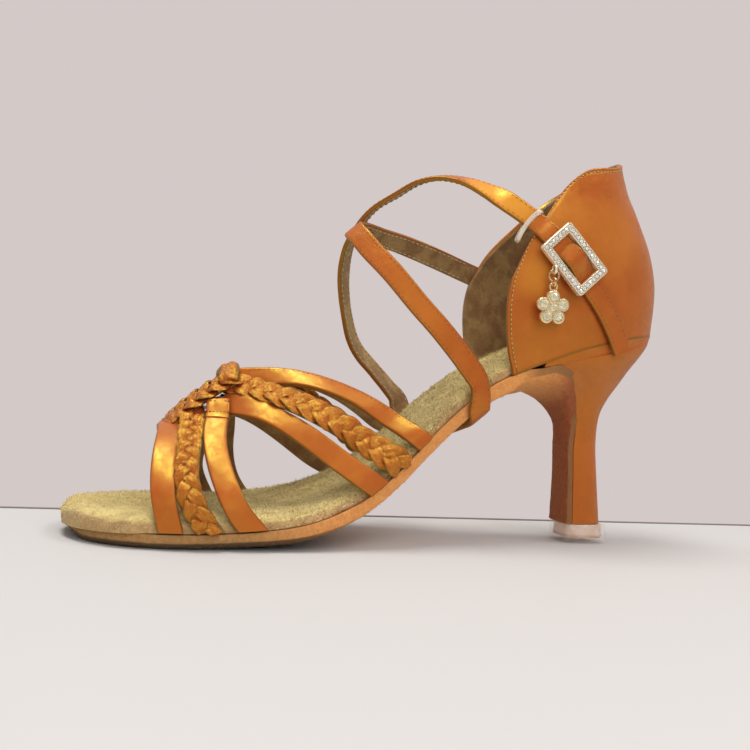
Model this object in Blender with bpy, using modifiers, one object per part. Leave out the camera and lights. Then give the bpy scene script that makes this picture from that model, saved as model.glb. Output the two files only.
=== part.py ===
"""Left ballroom dance sandal: strapped and braided vamp, closed counter, crossed ankle strap.

Metres, +Z up. The toe points to -X and the outer side of the foot to -Y.
The origin lies on the floor in the middle of the flat forefoot tread.
"""
import math
from collections import namedtuple

import bpy
import bmesh
from mathutils import Matrix, Vector

# Driving sizes of the shoe, in metres
LENGTH = 0.2093
BALL_WIDTH = 0.076
WAIST_WIDTH = 0.045
SEAT_WIDTH = 0.048
HEEL_HEIGHT = 0.0778
COUNTER_HEIGHT = 0.0622
VAMP_HEIGHT = 0.0575
ORIGIN_FROM_TOE = 0.045
GAP = 0.0003
SEAM_GAP = 0.0008
LOW_ABOVE = 0.0010
LOW_FADE = 0.0060

# Sole and insole
SOLE_EDGE = 0.0048
SOLE_DEPTH = 0.0132
TREAD_DIP = 0.0012
INSOLE_THICKNESS = 0.0058
INSOLE_DISH = 0.0010
INSOLE_INSET = 0.0013

# Upper
STRAP_THICKNESS = 0.0016
PLAIN_STRAP = 0.0077
SLIM_STRAP = 0.0068
BRAID_WIDTH = 0.0090
BRAID_THICKNESS = 0.0020
BRAID_RELIEF = 0.0013
BRAID_PITCH = 0.0070
SPINE_WIDTH = 0.0125
SPINE_THICKNESS = 0.0034
KNOT_WIDTH = 0.0070
COUNTER_WALL = 0.0018
COUNTER_CROWN = 0.0036
ANKLE_WIDTH = 0.0077
ANKLE_THICKNESS = 0.0016
ANKLE_STEP = 0.0055

# Heel, its tip and the clear cup on it, whose front and back are shares of the length
CUP_HEIGHT = 0.0069
CUP_WALL = 0.0012
CUP_FLOOR = 0.0016
CUP_FRONT = 0.8433
CUP_BACK = 0.9341
CUP_HALF = 0.0095

# Buckle and charm
BUCKLE_LENGTH = 0.0222
BUCKLE_WIDTH = 0.0142
BUCKLE_RIM = 0.0028
BUCKLE_THICKNESS = 0.0022
BUCKLE_TURN = math.radians(-47)
BUCKLE_CORNER = 0.0012
BAR_RADIUS = 0.0006
LUG_ALONG = -0.0020
LUG_OUT = 0.0011
LUG_RADIUS = 0.0014
LUG_WIRE = 0.00045
RING_RADIUS = 0.0018
LINK_RADIUS = 0.0015
LOOP_RADIUS = 0.0013
CHARM_WIRE = 0.00040
PETALS = 5
PETAL_RADIUS = 0.0024
PETAL_REACH = 0.0037
CHARM_THICKNESS = 0.0016
CHARM_BEVEL = 0.0003
KEEPER_LENGTH = 0.0050
KEEPER_PLACE = 0.15
KEEPER_WALL = 0.0007
KEEPER_SLACK = 0.0006

CURVE_STEPS = 12
BACK_SIDES = (-1.0, -0.5, 0.0, 0.5, 1.0)
TOE_SHARE = 0.2147
HEEL_SHARE = 0.8065

# Top edge of the outsole: along in shares of LENGTH, rise in shares of the climb to the seat
FEATHER = [
    (0.000, 0.012), (0.119, 0.001), (0.2389, 0.010), (0.3387, 0.041), (0.4012, 0.089),
    (0.4587, 0.168), (0.5161, 0.302), (0.5686, 0.453), (0.621, 0.595), (0.6694, 0.700),
    (0.7117, 0.766), (0.7641, 0.832), (0.8408, 0.911), (0.9264, 0.970), (1.000, 1.000),
]

# Half width along the sole: shares of BALL_WIDTH, WAIST_WIDTH and SEAT_WIDTH that add up
OUTLINE = [
    (0.2147, 0.500, 0.000, 0.000), (0.3024, 0.500, 0.000, 0.000), (0.373, 0.478, 0.000, 0.000),
    (0.4305, 0.430, 0.000, 0.000), (0.492, 0.300, 0.140, 0.000), (0.5444, 0.170, 0.290, 0.000),
    (0.6049, 0.050, 0.435, 0.000), (0.6603, 0.000, 0.493, 0.000), (0.7158, 0.000, 0.250, 0.240),
    (0.7762, 0.000, 0.000, 0.495), (0.8367, 0.000, 0.000, 0.495), (1.000, 0.000, 0.000, 0.495),
]

# Sideways swing of the sole's centre line, in shares of BALL_WIDTH
SWING = [(0.00, -0.025), (0.2016, 0.010), (0.4032, 0.000), (0.625, -0.020), (0.8569, 0.000), (1.00, 0.000)]

# Depth of the sole under its top edge, in shares of SOLE_DEPTH
DEPTH = [
    (0.000, 0.330), (0.0302, 0.450), (0.2389, 0.470), (0.3024, 0.500), (0.3387, 0.530),
    (0.4012, 0.540), (0.4587, 0.565), (0.5161, 0.680), (0.5686, 0.870), (0.621, 0.970),
    (0.6694, 1.000), (0.746, 0.930),
]

# Breast of the heel, from the waist down to the tip. Edge and face points of the sole's
# flap, the way its thickness leans, its thickness at edge and face, and the heel's back.
Breast = namedtuple("Breast", "edge_x edge_z half face_x face_z lean edge_t face_t back_x back_z")
BREAST = [
    Breast(0.7359, 0.757, 0.473, 0.7349, 0.653, 88, 0.165, 0.715, 0.000, 0.000),
    Breast(0.7601, 0.775, 0.481, 0.7601, 0.671, 80, 0.130, 0.620, 0.995, 0.974),
    Breast(0.7843, 0.793, 0.469, 0.7833, 0.656, 63, 0.150, 0.390, 0.990, 0.938),
    Breast(0.8085, 0.777, 0.431, 0.8055, 0.625, 45, 0.145, 0.260, 0.977, 0.882),
    Breast(0.8297, 0.743, 0.365, 0.8206, 0.586, 34, 0.140, 0.215, 0.959, 0.810),
    Breast(0.8428, 0.684, 0.280, 0.8317, 0.540, 24, 0.135, 0.180, 0.9436, 0.735),
    Breast(0.8498, 0.611, 0.212, 0.8387, 0.491, 16, 0.135, 0.165, 0.9249, 0.648),
    Breast(0.8485, 0.521, 0.172, 0.8423, 0.431, 8, 0.135, 0.150, 0.913, 0.559),
    Breast(0.8471, 0.386, 0.152, 0.8438, 0.360, 0, 0.135, 0.140, 0.9106, 0.424),
    Breast(0.8494, 0.244, 0.154, 0.8461, 0.238, 0, 0.135, 0.140, 0.9154, 0.263),
    Breast(0.8513, 0.000, 0.170, 0.8452, 0.000, 0, 0.135, 0.140, 0.9254, 0.000),
]

# Heel cup from its bottom edge to its top edge. Heights in shares of COUNTER_HEIGHT.
Level = namedtuple("Level", "front_x front_z back_x back_z half")
LEVELS = [
    Level(0.7057, 0.006, 0.997, 0.006, 1.000), Level(0.6946, 0.108, 1.000, 0.158, 1.040),
    Level(0.6875, 0.233, 0.998, 0.320, 1.070), Level(0.6855, 0.387, 0.986, 0.482, 1.080),
    Level(0.6905, 0.521, 0.967, 0.622, 1.060), Level(0.7067, 0.614, 0.950, 0.740, 1.030),
    Level(0.7178, 0.709, 0.938, 0.820, 0.985), Level(0.741, 0.788, 0.931, 0.892, 0.935),
    Level(0.7571, 0.855, 0.926, 0.944, 0.895), Level(0.7793, 0.907, 0.921, 1.000, 0.830),
]
LEVEL_FRONT = 0.7057
COUNTER_BACK = 0.997

# Where along the sole the insole narrows to go inside the heel cup
TUCK_START = 0.655
TUCK_END = 0.690

# Vamp straps of the outer side, from the sole up: shares of LENGTH, BALL_WIDTH, VAMP_HEIGHT.
# The first row of each lies on the seam and takes only its place along the sole.
# On the inner side a strap lies further back and higher by the two shares after its kind.
Strap = namedtuple("Strap", "name kind back up rows")
CROSSING = [
    Strap("toe_strap", "plain", 0.045, 0.000, [
        (0.1519, 0, 0), (0.1414, 0.485, 0.207), (0.1319, 0.460, 0.318), (0.1314, 0.415, 0.409),
        (0.1329, 0.342, 0.503), (0.1409, 0.197, 0.617), (0.1481, 0.000, 0.668)]),
    Strap("toe_braid", "braid", 0.055, 0.000, [
        (0.2079, 0, 0), (0.1854, 0.485, 0.210), (0.1682, 0.460, 0.322), (0.1639, 0.415, 0.414),
        (0.1667, 0.342, 0.513), (0.1768, 0.184, 0.661), (0.184, 0.000, 0.765)]),
    Strap("ball_strap", "plain", 0.055, 0.000, [
        (0.2752, 0, 0), (0.2484, 0.478, 0.216), (0.2303, 0.441, 0.330), (0.215, 0.368, 0.470),
        (0.2093, 0.263, 0.612), (0.2169, 0.145, 0.753), (0.2269, 0.000, 0.845)]),
]
SIDE_STRAPS = [
    Strap("waist_strap", "plain", 0.000, -0.030, [
        (0.4773, 0, 0), (0.429, 0.392, 0.480), (0.3822, 0.355, 0.605), (0.3359, 0.289, 0.703),
        (0.2895, 0.217, 0.753), (0.2532, 0.145, 0.791), (0.2399, 0.030, 0.878)]),
    Strap("waist_braid", "braid", 0.010, 0.025, [
        (0.5179, 0, 0), (0.4702, 0.362, 0.628), (0.4224, 0.322, 0.757), (0.3694, 0.263, 0.845),
        (0.323, 0.191, 0.897), (0.2819, 0.118, 0.922), (0.2581, 0.030, 0.948)]),
    Strap("instep_strap", "slim", 0.015, 0.045, [
        (0.5557, 0, 0), (0.5288, 0.349, 0.682), (0.4969, 0.316, 0.770), (0.4538, 0.257, 0.847),
        (0.3966, 0.178, 0.929), (0.344, 0.105, 0.974), (0.2772, 0.025, 0.975)]),
]
SPINE = [
    (0.1341, 0, 0.618), (0.1482, 0, 0.683), (0.172, 0, 0.762), (0.2035, 0, 0.850),
    (0.2379, 0, 0.938), (0.2641, 0, 0.978), (0.2853, 0, 0.984),
]
KNOT = [(0.252, 0.118, 0.910), (0.2581, 0.066, 0.992), (0.2611, 0.000, 1.026)]

# Ankle strap in the air: shares of LENGTH, BALL_WIDTH and the shoe's full height.
# It leaves the inner side of the counter, turns in front of the ankle, passes under the
# arch, crosses itself outside on the inner side and comes round to the buckle.
ANKLE_FRONT = [
    (0.621, 0.232, 0.730), (0.5545, 0.178, 0.756), (0.5045, 0.108, 0.768), (0.4640, 0.043, 0.778),
    (0.4470, -0.008, 0.775), (0.4526, -0.092, 0.751), (0.4658, -0.145, 0.721),
    (0.4969, -0.224, 0.666), (0.5379, -0.289, 0.591), (0.5724, -0.329, 0.534),
    (0.6164, -0.348, 0.458), (0.6422, -0.350, 0.405),
]
# Where it passes under the sole's outer and inner edge, and how many points lie between
ANKLE_ARCH = (0.6460, 0.5880)
ARCH_POINTS = 9
ANKLE_BACK = [
    (0.5781, 0.348, 0.345), (0.559, 0.345, 0.372), (0.5288, 0.342, 0.400), (0.4993, 0.342, 0.452),
    (0.4849, 0.330, 0.500), (0.4706, 0.304, 0.560), (0.462, 0.282, 0.609), (0.4557, 0.250, 0.660),
    (0.4536, 0.212, 0.705), (0.4570, 0.1745, 0.749), (0.4690, 0.128, 0.796), (0.4885, 0.077, 0.838),
    (0.5192, 0.020, 0.872), (0.5524, -0.038, 0.906), (0.5847, -0.092, 0.918),
    (0.622, -0.145, 0.911), (0.6613, -0.205, 0.885), (0.6880, -0.262, 0.858),
]
# Its ends on the counter: shares of LENGTH and of the full height
ANKLE_START = [(0.7742, 0.665), (0.7339, 0.682), (0.6956, 0.697)]
ANKLE_END = [(0.7411, 0.803), (0.7525, 0.785), (0.7665, 0.762)]
ANKLE_TAIL = [(0.8135, 0.687), (0.8275, 0.664), (0.8580, 0.611), (0.8840, 0.555), (0.9000, 0.508)]
BUCKLE_PLACE = (0.7900, 0.7245)

# Line inside the foot that the ankle strap faces away from: shares as in ANKLE_FRONT
FOOT_LINE = [(0.2823, 0.25), (0.5242, 0.43), (0.7158, 0.71), (0.7863, 1.00), (0.8065, 1.29)]

COLOURS = {
    "tan_leather": ((0.48, 0.13, 0.025), 0.35, 0.25),
    "suede": ((0.33, 0.25, 0.11), 0.95, 0.0),
    "outsole_suede": ((0.50, 0.28, 0.10), 0.95, 0.0),
    "clear_plastic": ((0.95, 0.85, 0.80), 0.12, 0.0),
    "rubber_tip": ((0.60, 0.40, 0.22), 0.6, 0.0),
    "gold_metal": ((0.80, 0.62, 0.36), 0.25, 1.0),
    "keeper": ((0.80, 0.60, 0.52), 0.4, 0.0),
}
FULL_HEIGHT = HEEL_HEIGHT + COUNTER_HEIGHT


def clear_scene():
    for obj in list(bpy.data.objects):
        bpy.data.objects.remove(obj)


def smooth(rows, x, column=1):
    """Read a column of a table at x along a cubic curve through its rows."""
    last = len(rows) - 1
    if x <= rows[0][0]:
        return rows[0][column]
    if x >= rows[last][0]:
        return rows[last][column]
    i = max(k for k in range(last) if rows[k][0] <= x)

    def slope(k):
        a = max(k - 1, 0)
        b = min(k + 1, last)
        return (rows[b][column] - rows[a][column]) / (rows[b][0] - rows[a][0])

    span = rows[i + 1][0] - rows[i][0]
    u = (x - rows[i][0]) / span
    start = rows[i][column] * (1 + 2 * u) * (1 - u) ** 2
    end = rows[i + 1][column] * u * u * (3 - 2 * u)
    return start + end + span * (slope(i) * u * (1 - u) ** 2 - slope(i + 1) * u * u * (1 - u))


def spaced(first, last, count, ease=0.0):
    """Shares from first to last, drawn together at both ends as ease goes to 1."""
    shares = []
    for i in range(count):
        u = i / (count - 1)
        eased = (1 - math.cos(math.pi * u)) / 2
        shares.append(first + (last - first) * (u + (eased - u) * ease))
    return shares


def curve_through(points, spacing):
    """Points of a rounded curve through the given ones, about a spacing apart."""
    return [point for point, _ in curve_with_places(points, spacing)]


def curve_with_places(points, spacing):
    """The curve's points, each with its place between the given points as a number."""
    ends = [points[0] * 2 - points[1]] + list(points) + [points[-1] * 2 - points[-2]]
    fine = []
    for p0, p1, p2, p3 in zip(ends, ends[1:], ends[2:], ends[3:]):
        t1 = (p1 - p0).length ** 0.5
        t2 = t1 + (p2 - p1).length ** 0.5
        t3 = t2 + (p3 - p2).length ** 0.5
        for k in range(CURVE_STEPS):
            t = t1 + (t2 - t1) * k / CURVE_STEPS
            a1 = p0 * ((t1 - t) / t1) + p1 * (t / t1)
            a2 = p1 * ((t2 - t) / (t2 - t1)) + p2 * ((t - t1) / (t2 - t1))
            a3 = p2 * ((t3 - t) / (t3 - t2)) + p3 * ((t - t2) / (t3 - t2))
            b1 = a1 * ((t2 - t) / t2) + a2 * (t / t2)
            b2 = a2 * ((t3 - t) / (t3 - t1)) + a3 * ((t - t1) / (t3 - t1))
            fine.append(b1 * ((t2 - t) / (t2 - t1)) + b2 * ((t - t1) / (t2 - t1)))
    fine.append(points[-1].copy())
    lengths = [0.0]
    for a, b in zip(fine, fine[1:]):
        lengths.append(lengths[-1] + (b - a).length)
    count = max(2, round(lengths[-1] / spacing))
    even = []
    k = 0
    for i in range(count + 1):
        want = lengths[-1] * i / count
        while k < len(fine) - 2 and lengths[k + 1] < want:
            k += 1
        u = (want - lengths[k]) / max(lengths[k + 1] - lengths[k], 1e-9)
        u = min(u, 1.0)
        even.append((fine[k].lerp(fine[k + 1], u), (k + u) / CURVE_STEPS))
    return even


def feather(along):
    """Height of the outsole's top edge at a share of the length."""
    return SOLE_EDGE + smooth(FEATHER, along) * (HEEL_HEIGHT - SOLE_EDGE)


def half_width(along):
    """Half width of the sole's outline at a share of the length."""
    half = smooth(OUTLINE, along, 1) * BALL_WIDTH
    half += smooth(OUTLINE, along, 2) * WAIST_WIDTH
    half += smooth(OUTLINE, along, 3) * SEAT_WIDTH
    if along < TOE_SHARE:
        half *= max(0.0, 1 - ((TOE_SHARE - along) / TOE_SHARE) ** 2.3) ** 0.5
    if along > HEEL_SHARE:
        half *= max(0.0, 1 - ((along - HEEL_SHARE) / (1 - HEEL_SHARE)) ** 2.1) ** 0.5
    return half


def swing(along):
    return smooth(SWING, along) * BALL_WIDTH


def place(along, across, height):
    """A point from a share of the length and from real sizes across and up."""
    return Vector((along * LENGTH - ORIGIN_FROM_TOE, across, height))


def edge_normal(along, side):
    """Way out of the sole's outline, level with the floor."""
    step = 0.01
    slope = (half_width(along + step) - half_width(along - step)) / (2 * step * LENGTH)
    return Vector((-slope, side, 0)).normalized()


def sole_thickness(along):
    return smooth(DEPTH, along) * SOLE_DEPTH


def underside(along, side):
    """Underside of the outsole at a share from -1 to 1 of its half width."""
    turn = math.asin(max(-1.0, min(1.0, side)))
    top = feather(along)
    edge = max(top - SOLE_EDGE, 0.0) + TREAD_DIP * flatness(along)
    low = top - sole_thickness(along) - TREAD_DIP * flatness(along)
    fullness = 0.9 - 0.5 * flatness(along)
    drop = math.cos(turn) ** fullness
    height = edge + (low - edge) * drop
    return place(along, swing(along) + half_width(along) * side, max(height, 0.0))


def flatness(along):
    """1 on the forefoot tread, falling to 0 in the waist."""
    return max(0.0, min(1.0, (0.50 - along) / 0.22))


def collection(name):
    made = bpy.data.collections.new(name)
    bpy.context.scene.collection.children.link(made)
    return made


def material(name):
    known = bpy.data.materials.get(name)
    if known:
        return known
    colour, roughness, metallic = COLOURS[name]
    made = bpy.data.materials.new(name)
    made.use_nodes = True
    shader = made.node_tree.nodes["Principled BSDF"]
    shader.inputs["Base Color"].default_value = (*colour, 1.0)
    shader.inputs["Roughness"].default_value = roughness
    shader.inputs["Metallic"].default_value = metallic
    return made


def add_object(name, bm, group, finish):
    """Make an object of a bmesh, with outward faces and its material."""
    bmesh.ops.recalc_face_normals(bm, faces=bm.faces)
    mesh = bpy.data.meshes.new(name)
    bm.to_mesh(mesh)
    bm.free()
    mesh.materials.append(material(finish))
    mesh.shade_smooth()
    mesh.set_sharp_from_angle(angle=math.radians(40))
    obj = bpy.data.objects.new(name, mesh)
    group.objects.link(obj)
    return obj


def loft(rings, front=0):
    """Closed solid through rings of equally many points, capped at both ends.

    Each face between rings is split along its shorter diagonal, so two lofts that lie
    against each other bend alike. A bent first ring is capped with strips across, behind
    its first points.
    """
    bm = bmesh.new()
    rows = [[bm.verts.new(point) for point in ring] for ring in rings]
    for a, b in zip(rows, rows[1:]):
        for i in range(len(a)):
            j = (i + 1) % len(a)
            if (a[i].co - b[j].co).length < (a[j].co - b[i].co).length:
                bm.faces.new((a[i], a[j], b[j]))
                bm.faces.new((a[i], b[j], b[i]))
            else:
                bm.faces.new((a[i], a[j], b[i]))
                bm.faces.new((a[j], b[j], b[i]))
    first = rows[0]
    if front:
        last = len(first) - 1
        bm.faces.new(first[:front + 1] + first[last:])
        for k in range(front, (front + last) // 2):
            ends = (first[k], first[k + 1], first[last + front - 1 - k], first[last + front - k])
            bm.faces.new(dict.fromkeys(ends))
    else:
        bm.faces.new(first)
    bm.faces.new(reversed(rows[-1]))
    return bm


def turns(count):
    """Angles from -90 to 90 degrees."""
    return [math.pi * (i / (count - 1) - 0.5) for i in range(count)]


def breast_point(row, side, depth, clear=0.0):
    """Point on the flap of the heel's breast: depth 0 is its face, 1 its back."""
    lean = math.radians(row.lean)
    away = Vector((math.cos(lean), 0, math.sin(lean)))
    floor = CUP_HEIGHT + GAP
    edge = place(row.edge_x, 0, floor + row.edge_z * (HEEL_HEIGHT - floor))
    face = place(row.face_x, 0, floor + row.face_z * (HEEL_HEIGHT - floor))
    edge += away * row.edge_t * SOLE_DEPTH * depth
    face += away * row.face_t * SOLE_DEPTH * depth
    point = edge.lerp(face, math.sqrt(1 - side * side)) + away * clear
    point.y = row.half * SEAT_WIDTH * side
    return point


def make_outsole(group):
    """Suede sole whose tongue runs down the heel's breast."""
    rings = []
    for along in spaced(0.002, 0.236, 9, 0.5)[:-1] + spaced(0.236, 0.705, 15):
        top = feather(along)
        ring = []
        for turn in turns(11):
            ring.append(underside(along, math.sin(turn)))
        for side in reversed(BACK_SIDES):
            ring.append(place(along, swing(along) + half_width(along) * side, top))
        rings.append(ring)
    for row in BREAST:
        ring = [breast_point(row, math.sin(turn), 0.0) for turn in turns(11)]
        ring += [breast_point(row, side, 1.0) for side in reversed(BACK_SIDES)]
        rings.append(ring)
    return add_object("outsole", loft(rings), group, "outsole_suede")


def make_insole(group):
    """Padded insole board under soft suede, with round edges."""
    seat_inset = COUNTER_WALL + 3 * GAP
    end = COUNTER_BACK * LENGTH - seat_inset
    rings = []
    for share in spaced(0.006, 0.994, 25, 0.75):
        along = (INSOLE_INSET + share * (end - INSOLE_INSET)) / LENGTH
        tuck = max(0.0, min(1.0, (along - TUCK_START) / (TUCK_END - TUCK_START)))
        inset = INSOLE_INSET + (seat_inset - INSOLE_INSET) * tuck * tuck * (3 - 2 * tuck)
        half = max(half_width(share) - inset, 0.003)
        low = feather(along) + 2 * GAP
        round_end = min(1.0, min(share, 1 - share) / 0.02 + 0.45)
        ring = []
        for turn in turns(13):
            across = half * math.copysign(abs(math.sin(turn)) ** 0.55, turn)
            height = INSOLE_THICKNESS * round_end * math.cos(turn) ** 0.45
            height -= INSOLE_DISH * (1 - (across / half) ** 2)
            ring.append(place(along, swing(along) + across, low + 0.0008 + max(height, 0.0)))
        for side in (0.97, 0.5, 0.0, -0.5, -0.97):
            ring.append(place(along, swing(along) + half * side, low))
        rings.append(ring)
    return add_object("insole", loft(rings), group, "suede")


def make_heel(group):
    """Leather-covered heel, fitted behind the sole's tongue and under the seat."""
    rings = []
    front = BREAST[1].edge_x + 0.004
    seat = []
    for side in BACK_SIDES:
        along = front
        across = half_width(along) * 0.985 * side
        seat.append(place(along, across, feather(along) - GAP))
    for share in spaced(0.0, 1.0, 15)[1:-1]:
        turn = math.pi * share
        along = front + (0.997 - front) * math.sin(turn) ** 0.7
        across = half_width(along) * 0.985 * (1 if share <= 0.5 else -1)
        seat.append(place(along, across, feather(along) - GAP))
    middle = len(BACK_SIDES) + 6
    seat[middle] = place(0.9985, 0, feather(1.0) - GAP)
    rings.append(seat)
    for row in BREAST[1:]:
        ring = [breast_point(row, side, 1.0, GAP) for side in BACK_SIDES]
        corner = ring[-1]
        floor = CUP_HEIGHT + GAP
        back = place(row.back_x, 0, floor + row.back_z * (HEEL_HEIGHT - floor))
        for share in spaced(0.0, 1.0, 15)[1:-1]:
            turn = math.pi * share
            reach = math.sin(turn) ** 0.9
            point = corner.lerp(back, reach)
            point.y = corner.y * math.copysign(abs(math.cos(turn)) ** 0.85, 0.5 - share)
            ring.append(point)
        rings.append(ring)
    return add_object("heel", loft(rings, len(BACK_SIDES)), group, "tan_leather")


def tip_ring(height, inset):
    """Rounded square ring of the heel's tip."""
    centre = (CUP_FRONT + CUP_BACK) / 2 * LENGTH - ORIGIN_FROM_TOE
    reach = (CUP_BACK - CUP_FRONT) / 2 * LENGTH - inset
    half = CUP_HALF - inset
    taper = 1 - 0.05 * height / CUP_HEIGHT
    ring = []
    for i in range(20):
        turn = 2 * math.pi * (i + 0.5) / 20
        x = math.copysign(abs(math.cos(turn)) ** 0.55, math.cos(turn)) * reach * taper
        y = math.copysign(abs(math.sin(turn)) ** 0.55, math.sin(turn)) * half * taper
        ring.append(Vector((centre + x, y, height)))
    return ring


def make_heel_tip(group):
    inset = CUP_WALL + GAP
    low = CUP_FLOOR + GAP
    rings = [tip_ring(low, inset), tip_ring(CUP_HEIGHT, inset)]
    return add_object("heel_tip", loft(rings), group, "rubber_tip")


def make_protector(group):
    """Clear cup pushed over the heel's tip."""
    rings = [tip_ring(0.0, 0.0006), tip_ring(0.0006, 0.0), tip_ring(CUP_HEIGHT, 0.0)]
    rings += [tip_ring(CUP_HEIGHT, CUP_WALL), tip_ring(CUP_FLOOR, CUP_WALL)]
    return add_object("heel_protector", loft(rings), group, "clear_plastic")


def level_value(level, column):
    rows = [(i / (len(LEVELS) - 1), *row) for i, row in enumerate(LEVELS)]
    return smooth(rows, level, column + 1)


def counter_point(level, reach, side):
    """Outer face of the heel cup: level 0 to 1 upwards, reach 0 at the back to 1 in front."""
    base = COUNTER_BACK + (LEVEL_FRONT - COUNTER_BACK) * reach
    back = level_value(level, 2)
    along = back + (level_value(level, 0) - back) * reach
    height = level_value(level, 3)
    height += (level_value(level, 1) - height) * reach
    half = (half_width(base) - GAP) * level_value(level, 4)
    rise = height * COUNTER_HEIGHT + COUNTER_CROWN * level ** 3 * 4 * reach * (1 - reach)
    return place(along, swing(base) + side * half, feather(base) + GAP + rise)


def counter_half(along, height, side):
    """Place across of the heel cup's side at a share of the length and a real height."""
    low = 0.0
    high = 1.0
    for _ in range(24):
        level = (low + high) / 2
        back = level_value(level, 2)
        reach = (back - along) / (back - level_value(level, 0))
        here = counter_point(level, max(0.0, min(1.0, reach)), side)
        if here.z < height:
            low = level
        else:
            high = level
    return here.y


def counter_side(along, share, side, away=0.0):
    """Point beside the heel cup at a share of the length and of the full height."""
    height = share * FULL_HEIGHT
    point = place(along, counter_half(along, height, side), height)
    step = 0.001
    far = step / LENGTH
    ahead = counter_half(along + far, height, side) - counter_half(along - far, height, side)
    rise = counter_half(along, height + step, side) - counter_half(along, height - step, side)
    normal = Vector((-ahead, 2 * step, -rise)).normalized()
    if side < 0:
        normal.negate()
    return point + normal * away, normal


def make_counter(group):
    """Closed heel cup: an open sheet with a wall of real thickness."""
    bm = bmesh.new()
    count = 12
    rows = []
    for level in spaced(0.0, 1.0, 11):
        row = []
        for i in range(-count, count + 1):
            share = abs(i) / count
            reach = 1 - math.cos(share * math.pi / 2)
            row.append(bm.verts.new(counter_point(level, reach, -1 if i < 0 else 1)))
        rows.append(row)
    for a, b in zip(rows, rows[1:]):
        for i in range(len(a) - 1):
            bm.faces.new((a[i], a[i + 1], b[i + 1], b[i]))
    obj = add_object("counter", bm, group, "tan_leather")
    centre = sum((v.co for v in obj.data.vertices), Vector()) / len(obj.data.vertices)
    face = obj.data.polygons[len(obj.data.polygons) // 2]
    if (face.center - centre).dot(face.normal) < 0:
        obj.data.flip_normals()
    wall = obj.modifiers.new("wall", "SOLIDIFY")
    wall.thickness = COUNTER_WALL
    wall.offset = -1.0
    wall.use_even_offset = True
    return obj


def plain_section(width, thickness):
    """Flat strap: across and out, from its inner face round its outer face."""
    half = width / 2
    soft = thickness * 0.35
    out = thickness / 2
    return [
        (-half, -out), (half, -out), (half, out - soft), (half - soft, out),
        (-half + soft, out), (-half, out - soft),
    ]


def braid_section(width, thickness, station, pitch):
    """Plaited strap: one wall with its slanted strips raised on the outer face."""
    out = thickness / 2
    half = width / 2
    section = [(-half * 0.86, -out), (half * 0.86, -out)]
    for share in (1.0, 0.60, 0.12, -0.12, -0.60, -1.0):
        shift = 0.0 if share > 0 else 0.5
        phase = (station / pitch + shift - 0.6 * abs(share)) % 1.0
        strip = phase ** 0.6 if phase < 0.8 else (1 - phase) * 4.4
        if abs(share) > 0.9:
            section.append((share * half * (0.88 + 0.14 * strip), out * 0.3))
        else:
            crown = 1.0 if abs(share) > 0.3 else 0.45
            section.append((share * half, out + BRAID_RELIEF * strip * crown))
    return section


def outward_from(line):
    """Direction away from a line inside the foot, for a strap that lies on the foot."""
    def outward(point):
        best = None
        for a, b in zip(line, line[1:]):
            u = max(0.0, min(1.0, (point - a).dot(b - a) / (b - a).length_squared))
            near = a.lerp(b, u)
            if best is None or (point - near).length < (point - best).length:
                best = near
        return (point - best).normalized()
    return outward


def clear_of_insole(points):
    """Push a strap's route out beside the insole's edge while it is that low."""
    moved = []
    for point in points:
        along = (point.x + ORIGIN_FROM_TOE) / LENGTH
        side = math.copysign(1, point.y)
        low = lowness(point, along)
        needed = swing(along) * side + half_width(along) - INSOLE_INSET + SEAM_GAP + STRAP_THICKNESS / 2
        across = abs(point.y)
        across += max(0.0, needed - across) * low
        moved.append(Vector((point.x, side * across, point.z)))
    return moved


def lowness(point, along):
    """1 beside the insole's edge, falling to 0 a little above it."""
    top = feather(along) + INSOLE_THICKNESS + LOW_ABOVE
    return max(0.0, min(1.0, 1 - (point.z - top) / LOW_FADE))


def outward_beside_sole(outward):
    """The same directions, turned square to the sole's outline low down."""
    def turned(point):
        along = (point.x + ORIGIN_FROM_TOE) / LENGTH
        square = edge_normal(along, math.copysign(1, point.y))
        return outward(point).lerp(square, lowness(point, along)).normalized()
    return turned


def ribbon(points, outward, section_at, start_edge=None, end_edge=None):
    """Solid strap along points, facing outward. An edge direction cuts its end along a seam."""
    rings = []
    last = len(points) - 1
    station = 0.0
    for i, point in enumerate(points):
        if i:
            station += (point - points[i - 1]).length
        ahead = (points[min(i + 1, last)] - points[max(i - 1, 0)]).normalized()
        normal = outward(point)
        normal = (normal - ahead * normal.dot(ahead)).normalized()
        across = ahead.cross(normal)
        width_way = across
        for edge, steps in ((start_edge, i), (end_edge, last - i)):
            if edge is not None and steps < 3:
                flat = edge - normal * edge.dot(normal)
                skew = flat / flat.dot(across)
                width_way = across.lerp(skew, (1.0, 0.6, 0.25)[steps])
        ring = [point + width_way * a + normal * b for a, b in section_at(station)]
        rings.append(ring)
    return loft(rings)


def seam_anchor(along, side):
    """Foot of a vamp strap on the seam beside the insole, and the way the seam runs."""
    across = swing(along) + side * (half_width(along) - INSOLE_INSET + SEAM_GAP + STRAP_THICKNESS / 2)
    step = 0.01
    way = place(along + step, 0, feather(along + step)) - place(along, 0, feather(along))
    way += Vector((0, side * (half_width(along + step) - half_width(along)), 0))
    return place(along, across, feather(along) + SEAM_GAP), way.normalized()


def strap_points(strap, side):
    """Route of a vamp strap from its foot to the ridge, and the way the seam runs."""
    back, up = (strap.back, strap.up) if side > 0 else (0.0, 0.0)
    anchor, way = seam_anchor(strap.rows[0][0] + back * 0.85, side)
    points = [anchor]
    for along, across, height in strap.rows[1:]:
        inner = min(1.0, across / 0.25)
        along += back * inner
        across *= min(1.0, (half_width(along) / BALL_WIDTH + 0.012) / 0.5)
        points.append(place(along, side * across * BALL_WIDTH, (height + up * inner) * VAMP_HEIGHT))
    return points, way


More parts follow.
